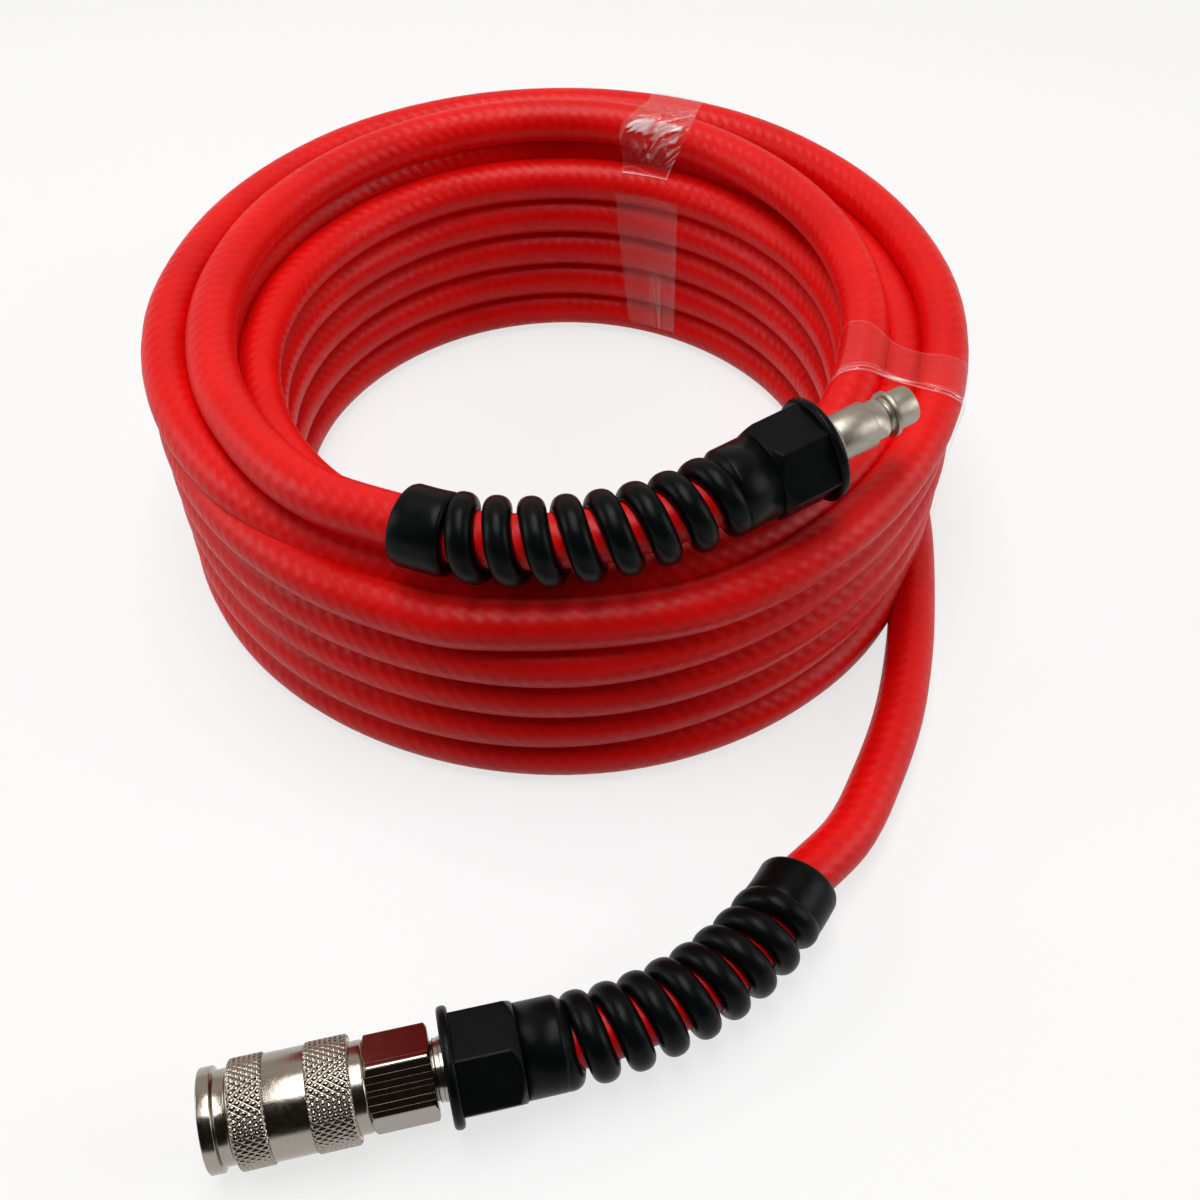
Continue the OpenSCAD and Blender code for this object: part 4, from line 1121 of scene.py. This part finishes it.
def top_show(a, b):
    k = top_crumple(a, b)
    f, ends, own = shards(a, b, 2.1, 8.0, 1.5)
    # a veil of painted reflection, stronger beyond the curled line, and painted glints down the ridges of
    # the crumpled facets
    v = 0.016 + 0.040 * ease((b - top_fold(a)) / 0.04)
    v += k * 0.05 * own * bell(f - 0.5, 0.12) * ends
    # glare on top of the turn, torn into shards along its lower side
    low, high = 0.215 + 0.07 * own + 0.03 * f, min(0.365, top_fold(a) - 0.01)
    glare = (ease((b - low) / 0.02) * ease((high - b) / 0.035)
             * ease((a - 0.05) / 0.05) * ease((0.92 - a) / 0.06))
    v += glare * (0.75 + 0.45 * own) * (1 - 0.3 * f) * (1 - 0.75 * bell(a - 0.46, 0.06))
    v += 0.50 * k * ends * (own > 0.5) * bell(f - 0.05, 0.07) * ease((0.24 - b) / 0.04)
    # the flap's lower edge and corner
    v += 0.45 * bell(b - 0.012, 0.009) + 0.30 * bell(a - 0.985, 0.014) * ease((0.14 - b) / 0.05)
    # the curled line, a crease beyond it and one near the foot
    v += 0.34 * bell(b - top_fold(a), 0.008) * (0.6 + 0.4 * sin(9 * a))
    v += 0.34 * bell(b - 0.30 - 0.33 * (a - 0.4), 0.007) * ease((a - 0.42) / 0.1)
    v += 0.12 * bell(b - 0.055 - 0.02 * sin(7 * a), 0.005) * ease((0.8 - a) / 0.1)
    return v + 0.03 * cut_edge(a), SMOOTH_SHINE + 0.35 * k


def right_lift(a, b):
    return 0.05 + 0.6 * bell(a - 0.93, 0.05) * ease((b - 0.12) / 0.1) * ease((0.8 - b) / 0.2)


def right_show(a, b):
    wave = 0.012 * sin(23 * b) + 0.010 * noise.noise(Vector((b * 14, 3.0, 1.0)))
    # a faint veil of painted reflection on the outer half of the strip
    v = 0.002 + 0.012 * ease((b - 0.45) / 0.1)
    # the lower long edge, which stands up, and two creases beside it
    v += 0.45 * bell(a - 0.985, 0.014) * (0.6 + 0.5 * noise.noise(Vector((b * 22, 0, 0))))
    v += (0.16 * bell(a - 0.92 + wave, 0.009)
          + 0.14 * bell(a - 0.85 - 2 * wave, 0.008) * ease((0.66 - b) / 0.1))
    # two glints, and a crease down the wall
    v += 0.85 * bell(a - 0.94 - 0.35 * (0.33 - b), 0.022) * bell(b - 0.30, 0.045)
    v += 0.50 * bell(a - 0.86 - 0.9 * (b - 0.45), 0.014) * bell(b - 0.46, 0.04)
    v += 0.22 * bell(a - 0.45 - 0.06 * sin(19 * b), 0.012) * ease((b - 0.68) / 0.1)
    # the upper long edge and the inner end
    v += 0.10 * bell(a - 0.006, 0.010) + 0.3 * bell(b - 0.006, 0.006)
    return v, SMOOTH_SHINE + 0.5 * bell(a - 0.93, 0.05)


film_strip("tape_back_inner", BACK_INNER, 70.0, 90, 110, inner_lift, inner_show, saw_edge)
film_strip("tape_back_top", BACK_TOP, 71.0, 120, 170, top_lift, top_show)
film_strip("tape_right", RIGHT, -18.0, 90, 190, right_lift, right_show)


# -------- floor, in metres
FLOOR_HALF = 6.0
FLOOR_Z = -0.0002


def floor_material():
    """Pale floor that keeps the shadow. It looks paler than the light that it throws on the object."""
    n = Nodes("studio_floor")
    path = n.add("ShaderNodeLightPath")
    seen = n.math('MAXIMUM', path.outputs["Is Camera Ray"],
                  n.math('MAXIMUM', path.outputs["Is Glossy Ray"], path.outputs["Is Transmission Ray"]))
    pale = n.mix(path.outputs["Is Camera Ray"], (0.50, 0.50, 0.50), (0.88, 0.88, 0.88))
    diffuse = n.put("ShaderNodeBsdfDiffuse", Color=pale)
    glow = n.put("ShaderNodeEmission", Color=(1.0, 1.0, 1.0, 1.0), Strength=1.0)
    n.surface(n.mix_shader(n.times(seen, 0.72), diffuse, glow))
    return n.mat


def stage_floor():
    corners = [(x * FLOOR_HALF, y * FLOOR_HALF, FLOOR_Z) for x, y in ((-1, -1), (1, -1), (1, 1), (-1, 1))]
    me = bpy.data.meshes.new("floor")
    me.from_pydata(corners, [], [(0, 1, 2, 3)])
    me.materials.append(floor_material())
    obj = link(bpy.data.objects.new("floor", me))


stage_floor()


# -------- light
def room_light():
    """Soft light from above, behind and both sides, dim and warm on the front side, and a white backdrop."""
    world = bpy.data.worlds.new("world")
    scene.world = world
    world.use_nodes = True
    tree = world.node_tree
    add = tree.nodes.new
    tree.nodes.clear()
    out = add("ShaderNodeOutputWorld")
    backdrop = add("ShaderNodeBackground")
    backdrop.inputs["Color"].default_value = (1, 1, 1, 1)
    backdrop.inputs["Strength"].default_value = 1.0
    room = add("ShaderNodeBackground")
    sky = add("ShaderNodeTexCoord")
    front = add("ShaderNodeVectorMath")
    front.operation = 'DOT_PRODUCT'
    front.inputs[1].default_value = Vector((0.0, -0.82, 0.57))
    dim = add("ShaderNodeMapRange")
    dim.interpolation_type = 'SMOOTHSTEP'
    for i, value in enumerate((-0.30, 0.62, 0.62, 0.02)):
        dim.inputs[i + 1].default_value = value
    tint = add("ShaderNodeMix")
    tint.data_type = 'RGBA'
    tint.inputs[6].default_value = (1.0, 0.72, 0.55, 1)
    tint.inputs[7].default_value = (0.98, 0.99, 1.0, 1)
    path = add("ShaderNodeLightPath")
    mixer = add("ShaderNodeMixShader")
    for a, b in ((sky.outputs["Generated"], front.inputs[0]), (front.outputs["Value"], dim.inputs[0]),
                 (dim.outputs[0], tint.inputs[0]), (tint.outputs[2], room.inputs["Color"]),
                 (dim.outputs[0], room.inputs["Strength"]), (path.outputs["Is Camera Ray"], mixer.inputs[0]),
                 (room.outputs[0], mixer.inputs[1]), (backdrop.outputs[0], mixer.inputs[2]),
                 (mixer.outputs[0], out.inputs[0])):
        tree.links.new(a, b)


def area(name, loc, target, size_x, size_y, power):
    """Rectangular lamp that looks at a target, in metres and watts."""
    data = bpy.data.lights.new(name, 'AREA')
    data.shape = 'RECTANGLE'
    data.size, data.size_y = size_x, size_y
    data.energy = power
    obj = link(bpy.data.objects.new(name, data))
    obj.location = loc
    obj.rotation_euler = (Vector(target) - Vector(loc)).to_track_quat('-Z', 'Y').to_euler()


room_light()
area("key", (-0.05, 0.02, 1.0), (0, 0.02, 0.03), 0.8, 0.4, 7.0)
area("left", (-0.95, -0.05, 0.5), (0, 0.05, 0.03), 0.5, 0.6, 3.2)
area("right", (0.95, -0.10, 0.5), (0, 0.05, 0.03), 0.5, 0.6, 3.2)

scene.view_settings.view_transform = 'Standard'
